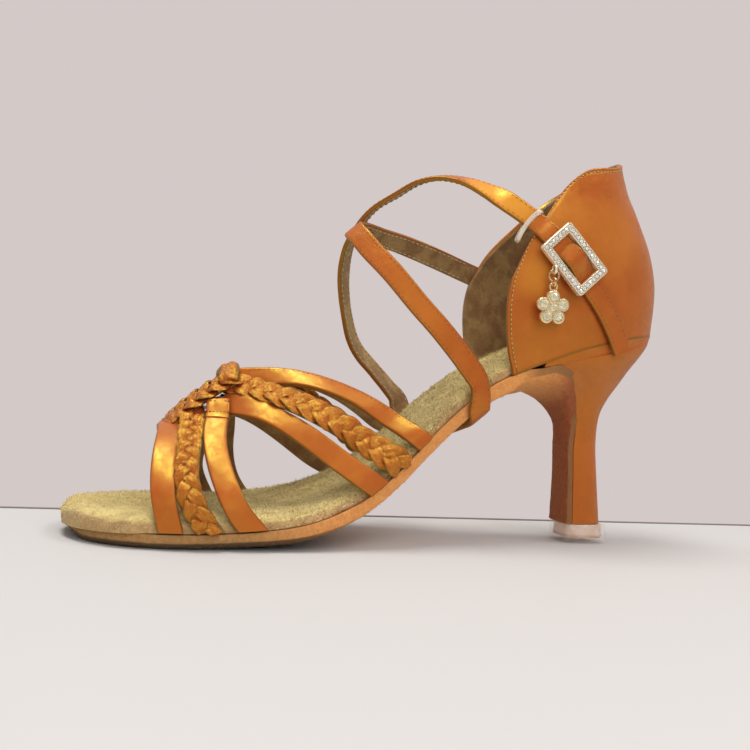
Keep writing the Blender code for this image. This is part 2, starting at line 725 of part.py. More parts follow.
def vamp_sections():
    return {
        "plain": (lambda s: plain_section(PLAIN_STRAP, STRAP_THICKNESS), 0.0042),
        "slim": (lambda s: plain_section(SLIM_STRAP, STRAP_THICKNESS), 0.0045),
        "braid": (lambda s: braid_section(BRAID_WIDTH, BRAID_THICKNESS, s, BRAID_PITCH),
                  BRAID_PITCH / 4),
    }


def make_vamp(group, cutters):
    """All vamp straps, the braided spine and its knot, joined where they cross."""
    line = [place(0.05, 0, 0.15 * VAMP_HEIGHT), place(0.28, 0, 0.25 * VAMP_HEIGHT),
            place(0.52, 0, 0.55 * VAMP_HEIGHT)]
    outward = outward_from(line)
    beside = outward_beside_sole(outward)
    sections = vamp_sections()
    pieces = []
    for strap in CROSSING:
        section, spacing = sections[strap.kind]
        outer, outer_way = strap_points(strap, -1)
        inner, inner_way = strap_points(strap, 1)
        points = clear_of_insole(curve_through(outer + inner[-2::-1], spacing))
        pieces.append(ribbon(points, beside, section, outer_way, inner_way))
    for strap in SIDE_STRAPS:
        section, spacing = sections[strap.kind]
        for side in (-1, 1):
            route, way = strap_points(strap, side)
            points = clear_of_insole(curve_through(route, spacing))
            pieces.append(ribbon(points, beside, section, way, None))
    route = [place(along, 0, height * VAMP_HEIGHT) for along, _, height in SPINE]
    points = curve_through(route, BRAID_PITCH / 4)
    pieces.append(ribbon(points, outward, lambda s: braid_section(
        SPINE_WIDTH, SPINE_THICKNESS, s, BRAID_PITCH)))
    outer = [place(a, -c * BALL_WIDTH, h * VAMP_HEIGHT) for a, c, h in KNOT]
    inner = [place(a, c * BALL_WIDTH, h * VAMP_HEIGHT) for a, c, h in KNOT]
    points = curve_through(outer + inner[-2::-1], 0.003)
    pieces.append(ribbon(points, outward, lambda s: plain_section(KNOT_WIDTH, BRAID_THICKNESS)))
    vamp = add_object("vamp_straps", pieces[-2], group, "tan_leather")
    join(vamp, pieces[:-2] + pieces[-1:], "vamp_pieces", cutters)
    return vamp


def ankle_route():
    """Points of the ankle strap, each with the direction in which its outer face looks."""
    line = [place(along, 0, height * FULL_HEIGHT) for along, height in FOOT_LINE]
    outward = outward_from(line)
    away = 2 * GAP + ANKLE_THICKNESS / 2
    route = [counter_side(a, h, 1, away) for a, h in ANKLE_START]
    for a, c, h in ANKLE_FRONT:
        point = place(a, c * BALL_WIDTH, h * FULL_HEIGHT)
        route.append((point, outward(point)))
    for turn in turns(ARCH_POINTS):
        side = math.sin(turn)
        along = ANKLE_ARCH[0] + (ANKLE_ARCH[1] - ANKLE_ARCH[0]) * (side + 1) / 2
        if abs(side) > 0.999:
            across = swing(along) + side * (half_width(along) + away + GAP)
            point = place(along, across, feather(along) - SOLE_EDGE)
            route.append((point, edge_normal(along, side)))
            continue
        here = underside(along, side)
        ahead = underside(along + 0.01, side) - here
        beside = underside(along, math.sin(turn + 0.05)) - underside(along, math.sin(turn - 0.05))
        normal = ahead.cross(beside).normalized()
        if normal.z > 0:
            normal.negate()
        route.append((here + normal * (away + GAP), normal))
    for a, c, h in ANKLE_BACK:
        point = place(a, c * BALL_WIDTH, h * FULL_HEIGHT)
        route.append((point, outward(point)))
    route += [counter_side(a, h, -1, away) for a, h in ANKLE_END]
    frame = buckle_frame_place()
    over = bar_height() + BAR_RADIUS + GAP + ANKLE_THICKNESS / 2
    route.append((frame @ Vector((0, 0, over)), frame.to_3x3() @ Vector((0, 0, 1))))
    route += [counter_side(a, h, -1, away) for a, h in ANKLE_TAIL]
    return route


def make_ankle_strap(group):
    """One long strap from the inner counter, round the ankle and under the arch."""
    route = ankle_route()
    faces = [normal for _, normal in route]
    rings = []
    path = curve_with_places([point for point, _ in route], ANKLE_STEP / 2)
    buckle = len(route) - len(ANKLE_TAIL) - 1
    arch = len(ANKLE_START) + len(ANKLE_FRONT) + ARCH_POINTS // 2
    last = len(path) - 1
    path = [row for i, row in enumerate(path) if i % 2 == 0 or i == last
            or abs(row[1] - buckle) < 2.5 or abs(row[1] - arch) < ARCH_POINTS / 2]
    points = [point for point, _ in path]
    for i, (point, spot) in enumerate(path):
        k = min(int(spot), len(faces) - 2)
        normal = faces[k].lerp(faces[k + 1], spot - k)
        ahead = (points[min(i + 1, len(points) - 1)] - points[max(i - 1, 0)]).normalized()
        normal = (normal - ahead * normal.dot(ahead)).normalized()
        across = ahead.cross(normal)
        section = plain_section(ANKLE_WIDTH, ANKLE_THICKNESS)
        rings.append([point + across * a + normal * b for a, b in section])
    return add_object("ankle_strap", loft(rings), group, "tan_leather")


def buckle_frame_place():
    """Frame of the buckle: X along its long side, Y across it, Z out of the shoe."""
    away = ANKLE_THICKNESS + 3 * GAP + BUCKLE_THICKNESS / 2
    centre, normal = counter_side(*BUCKLE_PLACE, -1, away)
    long_way = Vector((math.cos(BUCKLE_TURN), 0, math.sin(BUCKLE_TURN)))
    long_way = (long_way - normal * long_way.dot(normal)).normalized()
    short_way = normal.cross(long_way)
    return Matrix.Translation(centre) @ axes(long_way, short_way, normal)


def axes(x, y, z):
    return Matrix((x, y, z)).transposed().to_4x4()


def bar_height():
    return BAR_RADIUS - BUCKLE_THICKNESS / 2


def closed_loft(rings):
    """Closed ring-shaped solid through rings of points, the last joined to the first."""
    bm = bmesh.new()
    rows = [[bm.verts.new(point) for point in ring] for ring in rings]
    for a, b in zip(rows, rows[1:] + rows[:1]):
        for i in range(len(a)):
            j = (i + 1) % len(a)
            bm.faces.new((a[i], a[j], b[j], b[i]))
    return bm


def oblong(length, width, corner, height):
    """Rounded rectangle in the XY plane."""
    ring = []
    for i in range(20):
        turn = 2 * math.pi * (i + 0.5) / 20
        x = math.copysign(length / 2 - corner, math.cos(turn)) + corner * math.cos(turn)
        y = math.copysign(width / 2 - corner, math.sin(turn)) + corner * math.sin(turn)
        ring.append(Vector((x, y, height)))
    return ring


def frame_rings(length, width, rim, corner, low, high):
    """Four rings of a rectangular frame with an open middle."""
    inner = max(corner - rim / 2, corner / 2)
    hole = (length - 2 * rim, width - 2 * rim)
    return [oblong(length, width, corner, low), oblong(length, width, corner, high),
            oblong(*hole, inner, high), oblong(*hole, inner, low)]


def torus(radius, wire, place_at, around=14, tube=5):
    """Wire ring in the XY plane of a placing matrix."""
    rings = []
    for i in range(around):
        turn = 2 * math.pi * i / around
        ring = []
        for j in range(tube):
            roll = 2 * math.pi * (j + 0.5) / tube
            reach = radius + wire * math.cos(roll)
            ring.append(place_at @ Vector((reach * math.cos(turn), reach * math.sin(turn),
                                           wire * math.sin(roll))))
        rings.append(ring)
    return closed_loft(rings)


def join(obj, pieces, name, cutters):
    """Join more solids onto an object with one union."""
    group = bpy.data.collections.new(name)
    cutters.children.link(group)
    for i, bm in enumerate(pieces):
        piece = add_object("%s_%02d" % (name, i), bm, group, obj.data.materials[0].name)
        piece.hide_render = True
        piece.display_type = "WIRE"
    union = obj.modifiers.new("join", "BOOLEAN")
    union.operation = "UNION"
    union.solver = "EXACT"
    union.operand_type = "COLLECTION"
    union.collection = group


def make_buckle(group, cutters):
    """Rectangular frame with a bar across its middle and a lug for the charm."""
    at = buckle_frame_place()
    half = BUCKLE_THICKNESS / 2
    rings = frame_rings(BUCKLE_LENGTH, BUCKLE_WIDTH, BUCKLE_RIM, BUCKLE_CORNER, -half, half)
    buckle = add_object("buckle_frame", closed_loft([[at @ p for p in ring] for ring in rings]),
                        group, "gold_metal")
    reach = BUCKLE_WIDTH / 2 - BUCKLE_RIM / 2
    bar = bmesh.new()
    bmesh.ops.create_cone(bar, cap_ends=True, segments=10, radius1=BAR_RADIUS,
                          radius2=BAR_RADIUS, depth=2 * reach)
    seat = Matrix.Translation((0, 0, bar_height() + GAP / 10)) @ Matrix.Rotation(math.pi / 2, 4, "X")
    bar.transform(at @ seat)
    lug = torus(LUG_RADIUS, LUG_WIRE, charm_places()["lug"])
    join(buckle, [bar, lug], "buckle_pieces", cutters)
    return buckle


def charm_places():
    """Placing matrices of the hanging chain, each ring at right angles to the last."""
    frame = buckle_frame_place()
    outward = frame.to_3x3() @ Vector((0, 0, 1))
    outward = Vector((outward.x, outward.y, 0)).normalized()
    up = Vector((0, 0, 1))
    sideways = outward.cross(up)
    lug = frame @ Vector((LUG_ALONG, -BUCKLE_WIDTH / 2 - LUG_OUT, 0))
    flat = axes(sideways, up, sideways.cross(up))
    turned = axes(outward, up, outward.cross(up))
    hook = 2 * CHARM_WIRE + GAP
    ring = lug - up * (LUG_RADIUS + RING_RADIUS - LUG_WIRE - CHARM_WIRE - GAP)
    link = ring - up * (RING_RADIUS + LINK_RADIUS - hook)
    loop = link - up * (LINK_RADIUS + LOOP_RADIUS - hook)
    flower = loop - up * (LOOP_RADIUS + PETAL_REACH + PETAL_RADIUS - CHARM_WIRE / 2)
    return {
        "lug": Matrix.Translation(lug) @ turned,
        "ring": Matrix.Translation(ring) @ flat,
        "link": Matrix.Translation(link) @ turned,
        "loop": Matrix.Translation(loop) @ flat,
        "flower": Matrix.Translation(flower) @ flat,
    }


def flower_ring(at, height, shrink):
    """Outline of round petals about a centre, one petal pointing up."""
    ring = []
    steps = 6
    for i in range(PETALS * steps):
        turn = 2 * math.pi * i / (PETALS * steps)
        off = (turn + math.pi / PETALS) % (2 * math.pi / PETALS) - math.pi / PETALS
        cut = PETAL_RADIUS ** 2 - (PETAL_REACH * math.sin(off)) ** 2
        reach = PETAL_REACH * math.cos(off) + max(cut, 0.0) ** 0.5 - shrink
        ring.append(at @ Vector((-reach * math.sin(turn), reach * math.cos(turn), height)))
    return ring


def make_charm(group, cutters):
    """Two small rings and a flat flower that hang from the buckle's lug."""
    places = charm_places()
    add_object("charm_ring", torus(RING_RADIUS, CHARM_WIRE, places["ring"]), group, "gold_metal")
    add_object("charm_link", torus(LINK_RADIUS, CHARM_WIRE, places["link"]), group, "gold_metal")
    half = CHARM_THICKNESS / 2
    at = places["flower"]
    rings = [flower_ring(at, -half, CHARM_BEVEL), flower_ring(at, CHARM_BEVEL - half, 0.0),
             flower_ring(at, half - CHARM_BEVEL, 0.0), flower_ring(at, half, CHARM_BEVEL)]
    flower = add_object("charm_flower", loft(rings), group, "gold_metal")
    join(flower, [torus(LOOP_RADIUS, CHARM_WIRE, places["loop"])], "charm_pieces", cutters)


def make_keeper(group):
    """Small clear loop that holds the strap just before the counter."""
    route = ankle_route()
    first = len(ANKLE_START) + len(ANKLE_FRONT) + ARCH_POINTS + len(ANKLE_BACK)
    path = curve_with_places([point for point, _ in route], ANKLE_STEP)
    best = min(range(len(path)), key=lambda i: abs(path[i][1] - (first - 1 + KEEPER_PLACE)))
    here = path[best][0]
    ahead = (path[best + 1][0] - path[best - 1][0]).normalized()
    normal = route[first - 1][1].lerp(route[first][1], KEEPER_PLACE)
    normal = (normal - ahead * normal.dot(ahead)).normalized()
    at = Matrix.Translation(here) @ axes(ahead.cross(normal), normal, ahead)
    wide = ANKLE_WIDTH + 2 * (KEEPER_SLACK + KEEPER_WALL)
    deep = ANKLE_THICKNESS + 2 * (KEEPER_SLACK + KEEPER_WALL)
    half = KEEPER_LENGTH / 2
    rings = frame_rings(wide, deep, KEEPER_WALL, KEEPER_WALL, -half, half)
    return add_object("keeper_loop", closed_loft([[at @ p for p in ring] for ring in rings]),
                      group, "keeper")


def main():
    clear_scene()
    shoe = collection("dance_sandal")
    cutters = collection("cutters")
    make_outsole(shoe)
    make_insole(shoe)
    make_heel(shoe)
    make_heel_tip(shoe)
    make_protector(shoe)
    make_counter(shoe)
    make_vamp(shoe, cutters)
    make_ankle_strap(shoe)
    make_keeper(shoe)
    make_buckle(shoe, cutters)
    make_charm(shoe, cutters)


main()
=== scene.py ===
"""Dance sandal in copper satin leather, dressed around its CAD frame.

Metres, +Z up, toe to -X, outer side of the foot to -Y, as in the frame. The tables give
the real shoe in shares of its driving sizes, and every piece is built from them.
"""

import random
from collections import namedtuple
from math import asin, copysign, cos, exp, pi, radians, sin, sqrt

import bmesh
import bpy
import numpy as np
from mathutils import Matrix, Vector, noise
from numpy.linalg import norm


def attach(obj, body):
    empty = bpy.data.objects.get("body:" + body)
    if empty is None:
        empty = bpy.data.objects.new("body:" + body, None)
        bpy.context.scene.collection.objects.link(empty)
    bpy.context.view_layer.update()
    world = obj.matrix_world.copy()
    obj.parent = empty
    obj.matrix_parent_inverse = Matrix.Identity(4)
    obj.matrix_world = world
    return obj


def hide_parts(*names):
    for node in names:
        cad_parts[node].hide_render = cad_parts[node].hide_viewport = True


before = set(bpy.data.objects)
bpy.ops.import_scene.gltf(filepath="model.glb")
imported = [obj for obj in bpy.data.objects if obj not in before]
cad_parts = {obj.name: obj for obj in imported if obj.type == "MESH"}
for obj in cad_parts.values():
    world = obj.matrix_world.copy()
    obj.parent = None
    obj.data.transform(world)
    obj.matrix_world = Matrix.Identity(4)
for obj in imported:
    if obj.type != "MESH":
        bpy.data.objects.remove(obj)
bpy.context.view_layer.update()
scene = bpy.context.scene

# Driving sizes, as in the CAD source
LENGTH = 0.2093
BALL_WIDTH = 0.076
WAIST_WIDTH = 0.045
SEAT_WIDTH = 0.048
HEEL_HEIGHT = 0.0778
COUNTER_HEIGHT = 0.0622
VAMP_HEIGHT = 0.0575
ORIGIN_FROM_TOE = 0.045
GAP = 0.0003
SEAM_GAP = 0.0008
LOW_ABOVE = 0.001
LOW_FADE = 0.011
FACING_FADE = 0.024
SOLE_EDGE = 0.0048
SOLE_DEPTH = 0.0132
TREAD_DIP = 0.0012
EDGE_ROUND = 0.0018
TOE_ROUND = 0.042
INSOLE_THICKNESS = 0.0058
INSOLE_DISH = 0.001
INSOLE_INSET = 0.0013
PAD_INSET = 0.0009
PAD_OVER = 0.0006
PAD_SKIRT = 0.0019
STRAP_THICKNESS = 0.0016
PLAIN_STRAP = 0.0077
SLIM_STRAP = 0.0068
BRAID_WIDTH = 0.009
SPINE_ROW = 0.0045
SPINE_BEND = 0.0165
KNOT_WIDTH = 0.007
COUNTER_WALL = 0.0018
COUNTER_TUCK = 0.0007
COUNTER_CROWN = 0.0062
INNER_CROWN = -0.0024
NEAR_FORWARD = 0.017
ANKLE_WIDTH = 0.0077
ANKLE_THICKNESS = 0.0016
CUP_HEIGHT = 0.0069
CUP_WALL = 0.0012
CUP_FLOOR = 0.0016
CUP_FRONT = 0.1765
CUP_BACK = 0.1955
CUP_HALF = 0.0095
BUCKLE_LENGTH = 0.0222
BUCKLE_WIDTH = 0.0142
BUCKLE_RIM = 0.0028
BUCKLE_THICKNESS = 0.0022
BUCKLE_TURN = radians(-47)
BUCKLE_CORNER = 0.0012
LONG_STONES = 12
SHORT_STONES = 7
BAR_RADIUS = 0.0006
LUG_ALONG = -0.002
LUG_OUT = 0.0011
LUG_RADIUS = 0.0014
LUG_WIRE = 0.00045
RING_RADIUS = 0.0018
LINK_RADIUS = 0.0015
LOOP_RADIUS = 0.0013
CHARM_WIRE = 0.0004
RING_THIN = 0.9
LOOP_THIN = 0.82
PETALS = 5
PETAL_RADIUS = 0.0024
PETAL_REACH = 0.0037
BEAD_REACH = 0.00215
CHARM_THICKNESS = 0.0016
KEEPER_PLACE = 0.64
TOE_SHARE = 0.2147
HEEL_SHARE = 0.8065
FULL_HEIGHT = HEEL_HEIGHT + COUNTER_HEIGHT

FEATHER = [
    (0.0, 0.012), (0.119, 0.001), (0.2389, 0.01), (0.3387, 0.041), (0.4012, 0.089),
    (0.4587, 0.168), (0.5161, 0.302), (0.5686, 0.453), (0.621, 0.595), (0.6694, 0.7),
    (0.7117, 0.766), (0.7641, 0.832), (0.8408, 0.911), (0.9264, 0.97), (1.0, 1.0),
]
OUTLINE = [
    (0.2147, 0.5, 0.0, 0.0), (0.3024, 0.5, 0.0, 0.0), (0.373, 0.478, 0.0, 0.0),
    (0.4305, 0.43, 0.0, 0.0), (0.492, 0.3, 0.14, 0.0), (0.5444, 0.17, 0.29, 0.0),
    (0.6049, 0.05, 0.435, 0.0), (0.6603, 0.0, 0.493, 0.0), (0.7158, 0.0, 0.25, 0.24),
    (0.7762, 0.0, 0.0, 0.495), (0.8367, 0.0, 0.0, 0.495), (1.0, 0.0, 0.0, 0.495),
]
SWING = [(0.0, -0.025), (0.2016, 0.01), (0.4032, 0.0), (0.625, -0.02), (0.8569, 0.0), (1.0, 0.0)]
DEPTH = [
    (0.0, 0.33), (0.0302, 0.45), (0.2389, 0.47), (0.3024, 0.5), (0.3387, 0.53),
    (0.4012, 0.51), (0.4587, 0.49), (0.5161, 0.49), (0.5686, 0.51), (0.621, 0.52),
    (0.6694, 0.5), (0.705, 0.53), (0.746, 0.65),
]
Breast = namedtuple("Breast", "edge_x edge_z half face_x face_z lean edge_t face_t back_x back_z")
BREAST = [
    Breast(0.7359, 0.757, 0.473, 0.7349, 0.653, 88, 0.165, 0.715, 0.996, 0.99),
    Breast(0.7601, 0.775, 0.481, 0.7601, 0.671, 80, 0.13, 0.62, 0.995, 0.974),
    Breast(0.7843, 0.793, 0.469, 0.7833, 0.656, 63, 0.15, 0.39, 0.99, 0.938),
    Breast(0.8085, 0.777, 0.431, 0.8055, 0.625, 45, 0.145, 0.26, 0.977, 0.882),
    Breast(0.8297, 0.743, 0.365, 0.8206, 0.586, 34, 0.14, 0.215, 0.959, 0.81),
    Breast(0.8428, 0.684, 0.28, 0.8317, 0.54, 24, 0.135, 0.18, 0.9436, 0.735),
    Breast(0.8498, 0.611, 0.212, 0.8387, 0.491, 16, 0.135, 0.165, 0.9249, 0.648),
    Breast(0.8485, 0.521, 0.172, 0.8423, 0.431, 8, 0.135, 0.15, 0.913, 0.559),
    Breast(0.8471, 0.386, 0.152, 0.8438, 0.36, 0, 0.135, 0.14, 0.9106, 0.424),
    Breast(0.8494, 0.244, 0.154, 0.8461, 0.238, 0, 0.135, 0.14, 0.9154, 0.263),
    Breast(0.8513, 0.0, 0.17, 0.8452, 0.0, 0, 0.135, 0.14, 0.9254, 0.0),
]
# Heel cup from its bottom edge up: front x and z, back x and z, width
LEVELS = [
    (0.7057, 0.006, 0.997, 0.006, 1.0), (0.6946, 0.108, 1.0, 0.158, 1.04),
    (0.6875, 0.233, 0.998, 0.32, 1.07), (0.6855, 0.387, 0.986, 0.482, 1.08),
    (0.6915, 0.521, 0.967, 0.622, 1.06), (0.7045, 0.614, 0.95, 0.74, 1.03),
    (0.72, 0.709, 0.938, 0.82, 0.985), (0.7385, 0.788, 0.931, 0.892, 0.935),
    (0.7571, 0.855, 0.926, 0.944, 0.895), (0.7793, 0.935, 0.921, 1.01, 0.83),
]
LEVEL_ROWS = [(i / (len(LEVELS) - 1), *row) for i, row in enumerate(LEVELS)]
FOLD_SEAM = 0.00165
LEVEL_FRONT = 0.7057
COUNTER_BACK = 0.997
TUCK_START = 0.655
TUCK_END = 0.69
Strap = namedtuple("Strap", "name kind back up rows")
CROSSING = [
    Strap("toe_strap", "plain", 0.045, 0.0, [
        (0.1519, 0, 0), (0.1434, 0.485, 0.207), (0.1369, 0.46, 0.318), (0.1374, 0.415, 0.409),
        (0.1409, 0.342, 0.503), (0.151, 0.197, 0.612), (0.16, 0.0, 0.66)]),
    Strap("toe_braid", "braid", 0.042, 0.0, [
        (0.2099, 0, 0), (0.1884, 0.485, 0.21), (0.1742, 0.46, 0.322), (0.1719, 0.415, 0.414),
        (0.1757, 0.342, 0.513), (0.1868, 0.184, 0.651), (0.194, 0.0, 0.745)]),
    Strap("ball_strap", "plain", 0.042, 0.0, [
        (0.2752, 0, 0), (0.2504, 0.478, 0.216), (0.2353, 0.441, 0.33), (0.223, 0.368, 0.47),
        (0.2193, 0.263, 0.605), (0.229, 0.145, 0.735), (0.239, 0.0, 0.82)]),
]
SIDE_STRAPS = [
    Strap("waist_strap", "plain", 0.0, -0.03, [
        (0.4773, 0, 0), (0.429, 0.392, 0.47), (0.3822, 0.355, 0.59), (0.3359, 0.289, 0.696),
        (0.2895, 0.217, 0.77), (0.258, 0.15, 0.792), (0.24, 0.09, 0.785)]),
    Strap("waist_braid", "braid", 0.01, 0.05, [
        (0.5179, 0, 0), (0.4702, 0.362, 0.588), (0.4224, 0.322, 0.698), (0.3694, 0.263, 0.79),
        (0.323, 0.191, 0.85), (0.2819, 0.118, 0.882), (0.25, 0.03, 0.904)]),
    Strap("instep_strap", "slim", 0.015, -0.005, [
        (0.5557, 0, 0), (0.5288, 0.349, 0.69), (0.4969, 0.316, 0.768), (0.4538, 0.257, 0.86),
        (0.3966, 0.178, 0.936), (0.344, 0.105, 0.966), (0.252, 0.02, 0.94)]),
]
SIDE_LEAN = {"waist_strap": (0.75, 0.026), "waist_braid": (0.45, 0.03), "instep_strap": (0.78, 0.046)}
SPINE = [
    (0.149, 0, 0.618), (0.161, 0, 0.672), (0.179, 0, 0.745), (0.2055, 0, 0.828),
    (0.2379, 0, 0.908), (0.26, 0, 0.942),
]
KNOT = [(0.245, 0.098, 0.915), (0.2485, 0.056, 0.97), (0.25, 0.0, 0.998)]
ANKLE_FRONT = [
    (0.621, 0.232, 0.73), (0.5545, 0.178, 0.756), (0.5045, 0.108, 0.768), (0.464, 0.043, 0.778),
    (0.447, -0.008, 0.775), (0.4526, -0.092, 0.751), (0.4658, -0.145, 0.721),
    (0.4969, -0.224, 0.666), (0.5379, -0.289, 0.591), (0.5724, -0.329, 0.534),
    (0.6164, -0.348, 0.458), (0.6422, -0.35, 0.405),
]
ANKLE_ARCH = (0.646, 0.588)
ARCH_POINTS = 9
ANKLE_BACK = [
    (0.5781, 0.35, 0.345), (0.559, 0.35, 0.378), (0.5288, 0.35, 0.425), (0.4993, 0.346, 0.47),
    (0.483, 0.332, 0.51), (0.4706, 0.304, 0.56), (0.462, 0.282, 0.609), (0.4557, 0.25, 0.66),
    (0.4536, 0.212, 0.705), (0.457, 0.1745, 0.749), (0.469, 0.128, 0.796), (0.4885, 0.077, 0.838),
    (0.5192, 0.02, 0.872), (0.5524, -0.038, 0.906), (0.5847, -0.092, 0.918),
    (0.622, -0.145, 0.911), (0.6613, -0.205, 0.885), (0.688, -0.262, 0.858),
]
TWIST_FROM = 11
ANKLE_TWIST = [0.3, 0.62, 0.74, 0.74, 0.66, 0.5, 0.25]
ANKLE_LEAN = [0.32, 0.46, 0.52, 0.54, 0.52, 0.45, 0.36, 0.24, 0.12]
ANKLE_START = [(0.7742, 0.665), (0.7339, 0.682), (0.6956, 0.697)]
ANKLE_END = [(0.7411, 0.803), (0.7525, 0.785), (0.7665, 0.762)]
ANKLE_TAIL = [(0.8135, 0.687), (0.8275, 0.664), (0.858, 0.611), (0.884, 0.555), (0.9, 0.508)]
BUCKLE_PLACE = (0.79, 0.7245)
FOOT_LINE = [(0.2823, 0.25), (0.5242, 0.43), (0.7158, 0.71), (0.7863, 1.0), (0.8065, 1.29)]

# Small ring mark of the heel cup, and its golden patches painted in as highlights, with their reach and
# strength
MARK_PLACE = (0.866, 0.905)
COUNTER_PAINTED_HIGHLIGHTS = [
    ((0.735, 0.675), 0.011, 0.38), ((0.868, 0.79), 0.02, 0.24), ((0.79, 0.84), 0.012, 0.22),
]

# Where the camera stood and the far edge of the table, from the photograph's view
CAMERA_PLACE = (-0.0511, -0.4125, 0.064)
CAMERA_AXES = ((0.96455, -0.25757, 0.05756), (-0.05177, 0.0292, 0.99823), (-0.25879, -0.96582, 0.01483))
LENS = 57.6
TABLE_EDGE = ((-0.0676, 0.0529), (0.2451, 0.0483))


def smooth(rows, x, column=1):
    """Read a column of a table at x along a cubic curve through its rows."""
    last = len(rows) - 1
    if x <= rows[0][0]:
        return rows[0][column]
    if x >= rows[last][0]:
        return rows[last][column]
    i = max(k for k in range(last) if rows[k][0] <= x)

    def slope(k):
        a = max(k - 1, 0)
        b = min(k + 1, last)
        return (rows[b][column] - rows[a][column]) / (rows[b][0] - rows[a][0])

    span = rows[i + 1][0] - rows[i][0]
    u = (x - rows[i][0]) / span
    start = rows[i][column] * (1 + 2 * u) * (1 - u) ** 2
    end = rows[i + 1][column] * u * u * (3 - 2 * u)
    return start + end + span * (slope(i) * u * (1 - u) ** 2 - slope(i + 1) * u * u * (1 - u))


def spaced(first, last, count, ease=0.0):
    """Shares from first to last, drawn together at both ends as ease goes to 1."""
    shares = []
    for i in range(count):
        u = i / (count - 1)
        slow = (1 - cos(pi * u)) / 2
        shares.append(first + (last - first) * (u + (slow - u) * ease))
    return shares


def turns(count):
    return [pi * (i / (count - 1) - 0.5) for i in range(count)]


def curve_with_places(points, spacing, steps=40):
    """Even points of a rounded curve, each with its place between the given points."""
    ends = [points[0] * 2 - points[1]] + list(points) + [points[-1] * 2 - points[-2]]
    fine = []
    for p0, p1, p2, p3 in zip(ends, ends[1:], ends[2:], ends[3:]):
        t1 = (p1 - p0).length ** 0.5
        t2 = t1 + (p2 - p1).length ** 0.5
        t3 = t2 + (p3 - p2).length ** 0.5
        for k in range(steps):
            t = t1 + (t2 - t1) * k / steps
            a1 = p0 * ((t1 - t) / t1) + p1 * (t / t1)
            a2 = p1 * ((t2 - t) / (t2 - t1)) + p2 * ((t - t1) / (t2 - t1))
            a3 = p2 * ((t3 - t) / (t3 - t2)) + p3 * ((t - t2) / (t3 - t2))
            b1 = a1 * ((t2 - t) / t2) + a2 * (t / t2)
            b2 = a2 * ((t3 - t) / (t3 - t1)) + a3 * ((t - t1) / (t3 - t1))
            fine.append(b1 * ((t2 - t) / (t2 - t1)) + b2 * ((t - t1) / (t2 - t1)))
    fine.append(points[-1].copy())
    fine = np.array(fine)
    lengths = np.concatenate([[0], np.cumsum(norm(np.diff(fine, axis=0), axis=1))])
    count = max(2, round(lengths[-1] / spacing))
    want = np.linspace(0, lengths[-1], count + 1)
    spots = np.interp(want, lengths, np.arange(len(fine)) / steps)
    even = np.stack([np.interp(want, lengths, fine[:, i]) for i in range(3)], 1)
    return even, spots


def feather(along):
    return SOLE_EDGE + smooth(FEATHER, along) * (HEEL_HEIGHT - SOLE_EDGE)


def half_width(along):
    half = smooth(OUTLINE, along, 1) * BALL_WIDTH
    half += smooth(OUTLINE, along, 2) * WAIST_WIDTH
    half += smooth(OUTLINE, along, 3) * SEAT_WIDTH
    if along < TOE_SHARE:
        half *= max(0.0, 1 - ((TOE_SHARE - along) / TOE_SHARE) ** 2.3) ** 0.5
    if along > HEEL_SHARE:
        half *= max(0.0, 1 - ((along - HEEL_SHARE) / (1 - HEEL_SHARE)) ** 2.1) ** 0.5
    return half


def swing(along):
    return smooth(SWING, along) * BALL_WIDTH


def place(along, across, height):
    return Vector((along * LENGTH - ORIGIN_FROM_TOE, across, height))


def edge_normal(along, side):
    step = 0.01
    slope = (half_width(along + step) - half_width(along - step)) / (2 * step * LENGTH)
    return Vector((-slope, side, 0)).normalized()


def flatness(along):
    return max(0.0, min(1.0, (0.5 - along) / 0.22))


def underside(along, side):
    """Underside of the outsole at a share from -1 to 1 of its half width."""
    turn = asin(max(-1.0, min(1.0, side)))
    top = feather(along)
    edge = max(top - SOLE_EDGE, 0.0) + (TREAD_DIP + EDGE_ROUND) * flatness(along)
    low = top - smooth(DEPTH, along) * SOLE_DEPTH - TREAD_DIP * flatness(along)
    drop = cos(turn) ** (0.9 - 0.15 * flatness(along))
    height = edge + (low - edge) * drop
    front = max(0.0, 1 - along / TOE_ROUND)
    height += (top - 0.0016 - height) * front ** 2.2
    return place(along, swing(along) + half_width(along) * side, max(height, 0.0))


def breast_row(at):
    """The breast's table read between its rows, where 0 is its first row."""
    rows = [(i, *row) for i, row in enumerate(BREAST)]
    return Breast(*[smooth(rows, at, k + 1) for k in range(len(BREAST[0]))])


def breast_point(row, side, depth, clear=0.0):
    """Point on the flap of the heel's breast: depth 0 is its face, 1 its back."""
    lean = radians(row.lean)
    away = Vector((cos(lean), 0, sin(lean)))
    floor = CUP_HEIGHT + GAP
    edge = place(row.edge_x, 0, floor + row.edge_z * (HEEL_HEIGHT - floor))
    face = place(row.face_x, 0, floor + row.face_z * (HEEL_HEIGHT - floor))
    edge += away * row.edge_t * SOLE_DEPTH * depth
    face += away * row.face_t * SOLE_DEPTH * depth
    point = edge.lerp(face, sqrt(max(0.0, 1 - side * side))) + away * clear
    point.y = row.half * SEAT_WIDTH * side
    return point


def front_edge(level, side):
    """Share of the length where the heel cup's front edge lies, further forward on the outer side."""
    return smooth(LEVEL_ROWS, level, 1) - (NEAR_FORWARD * level ** 3 if side < 0 else 0.0)


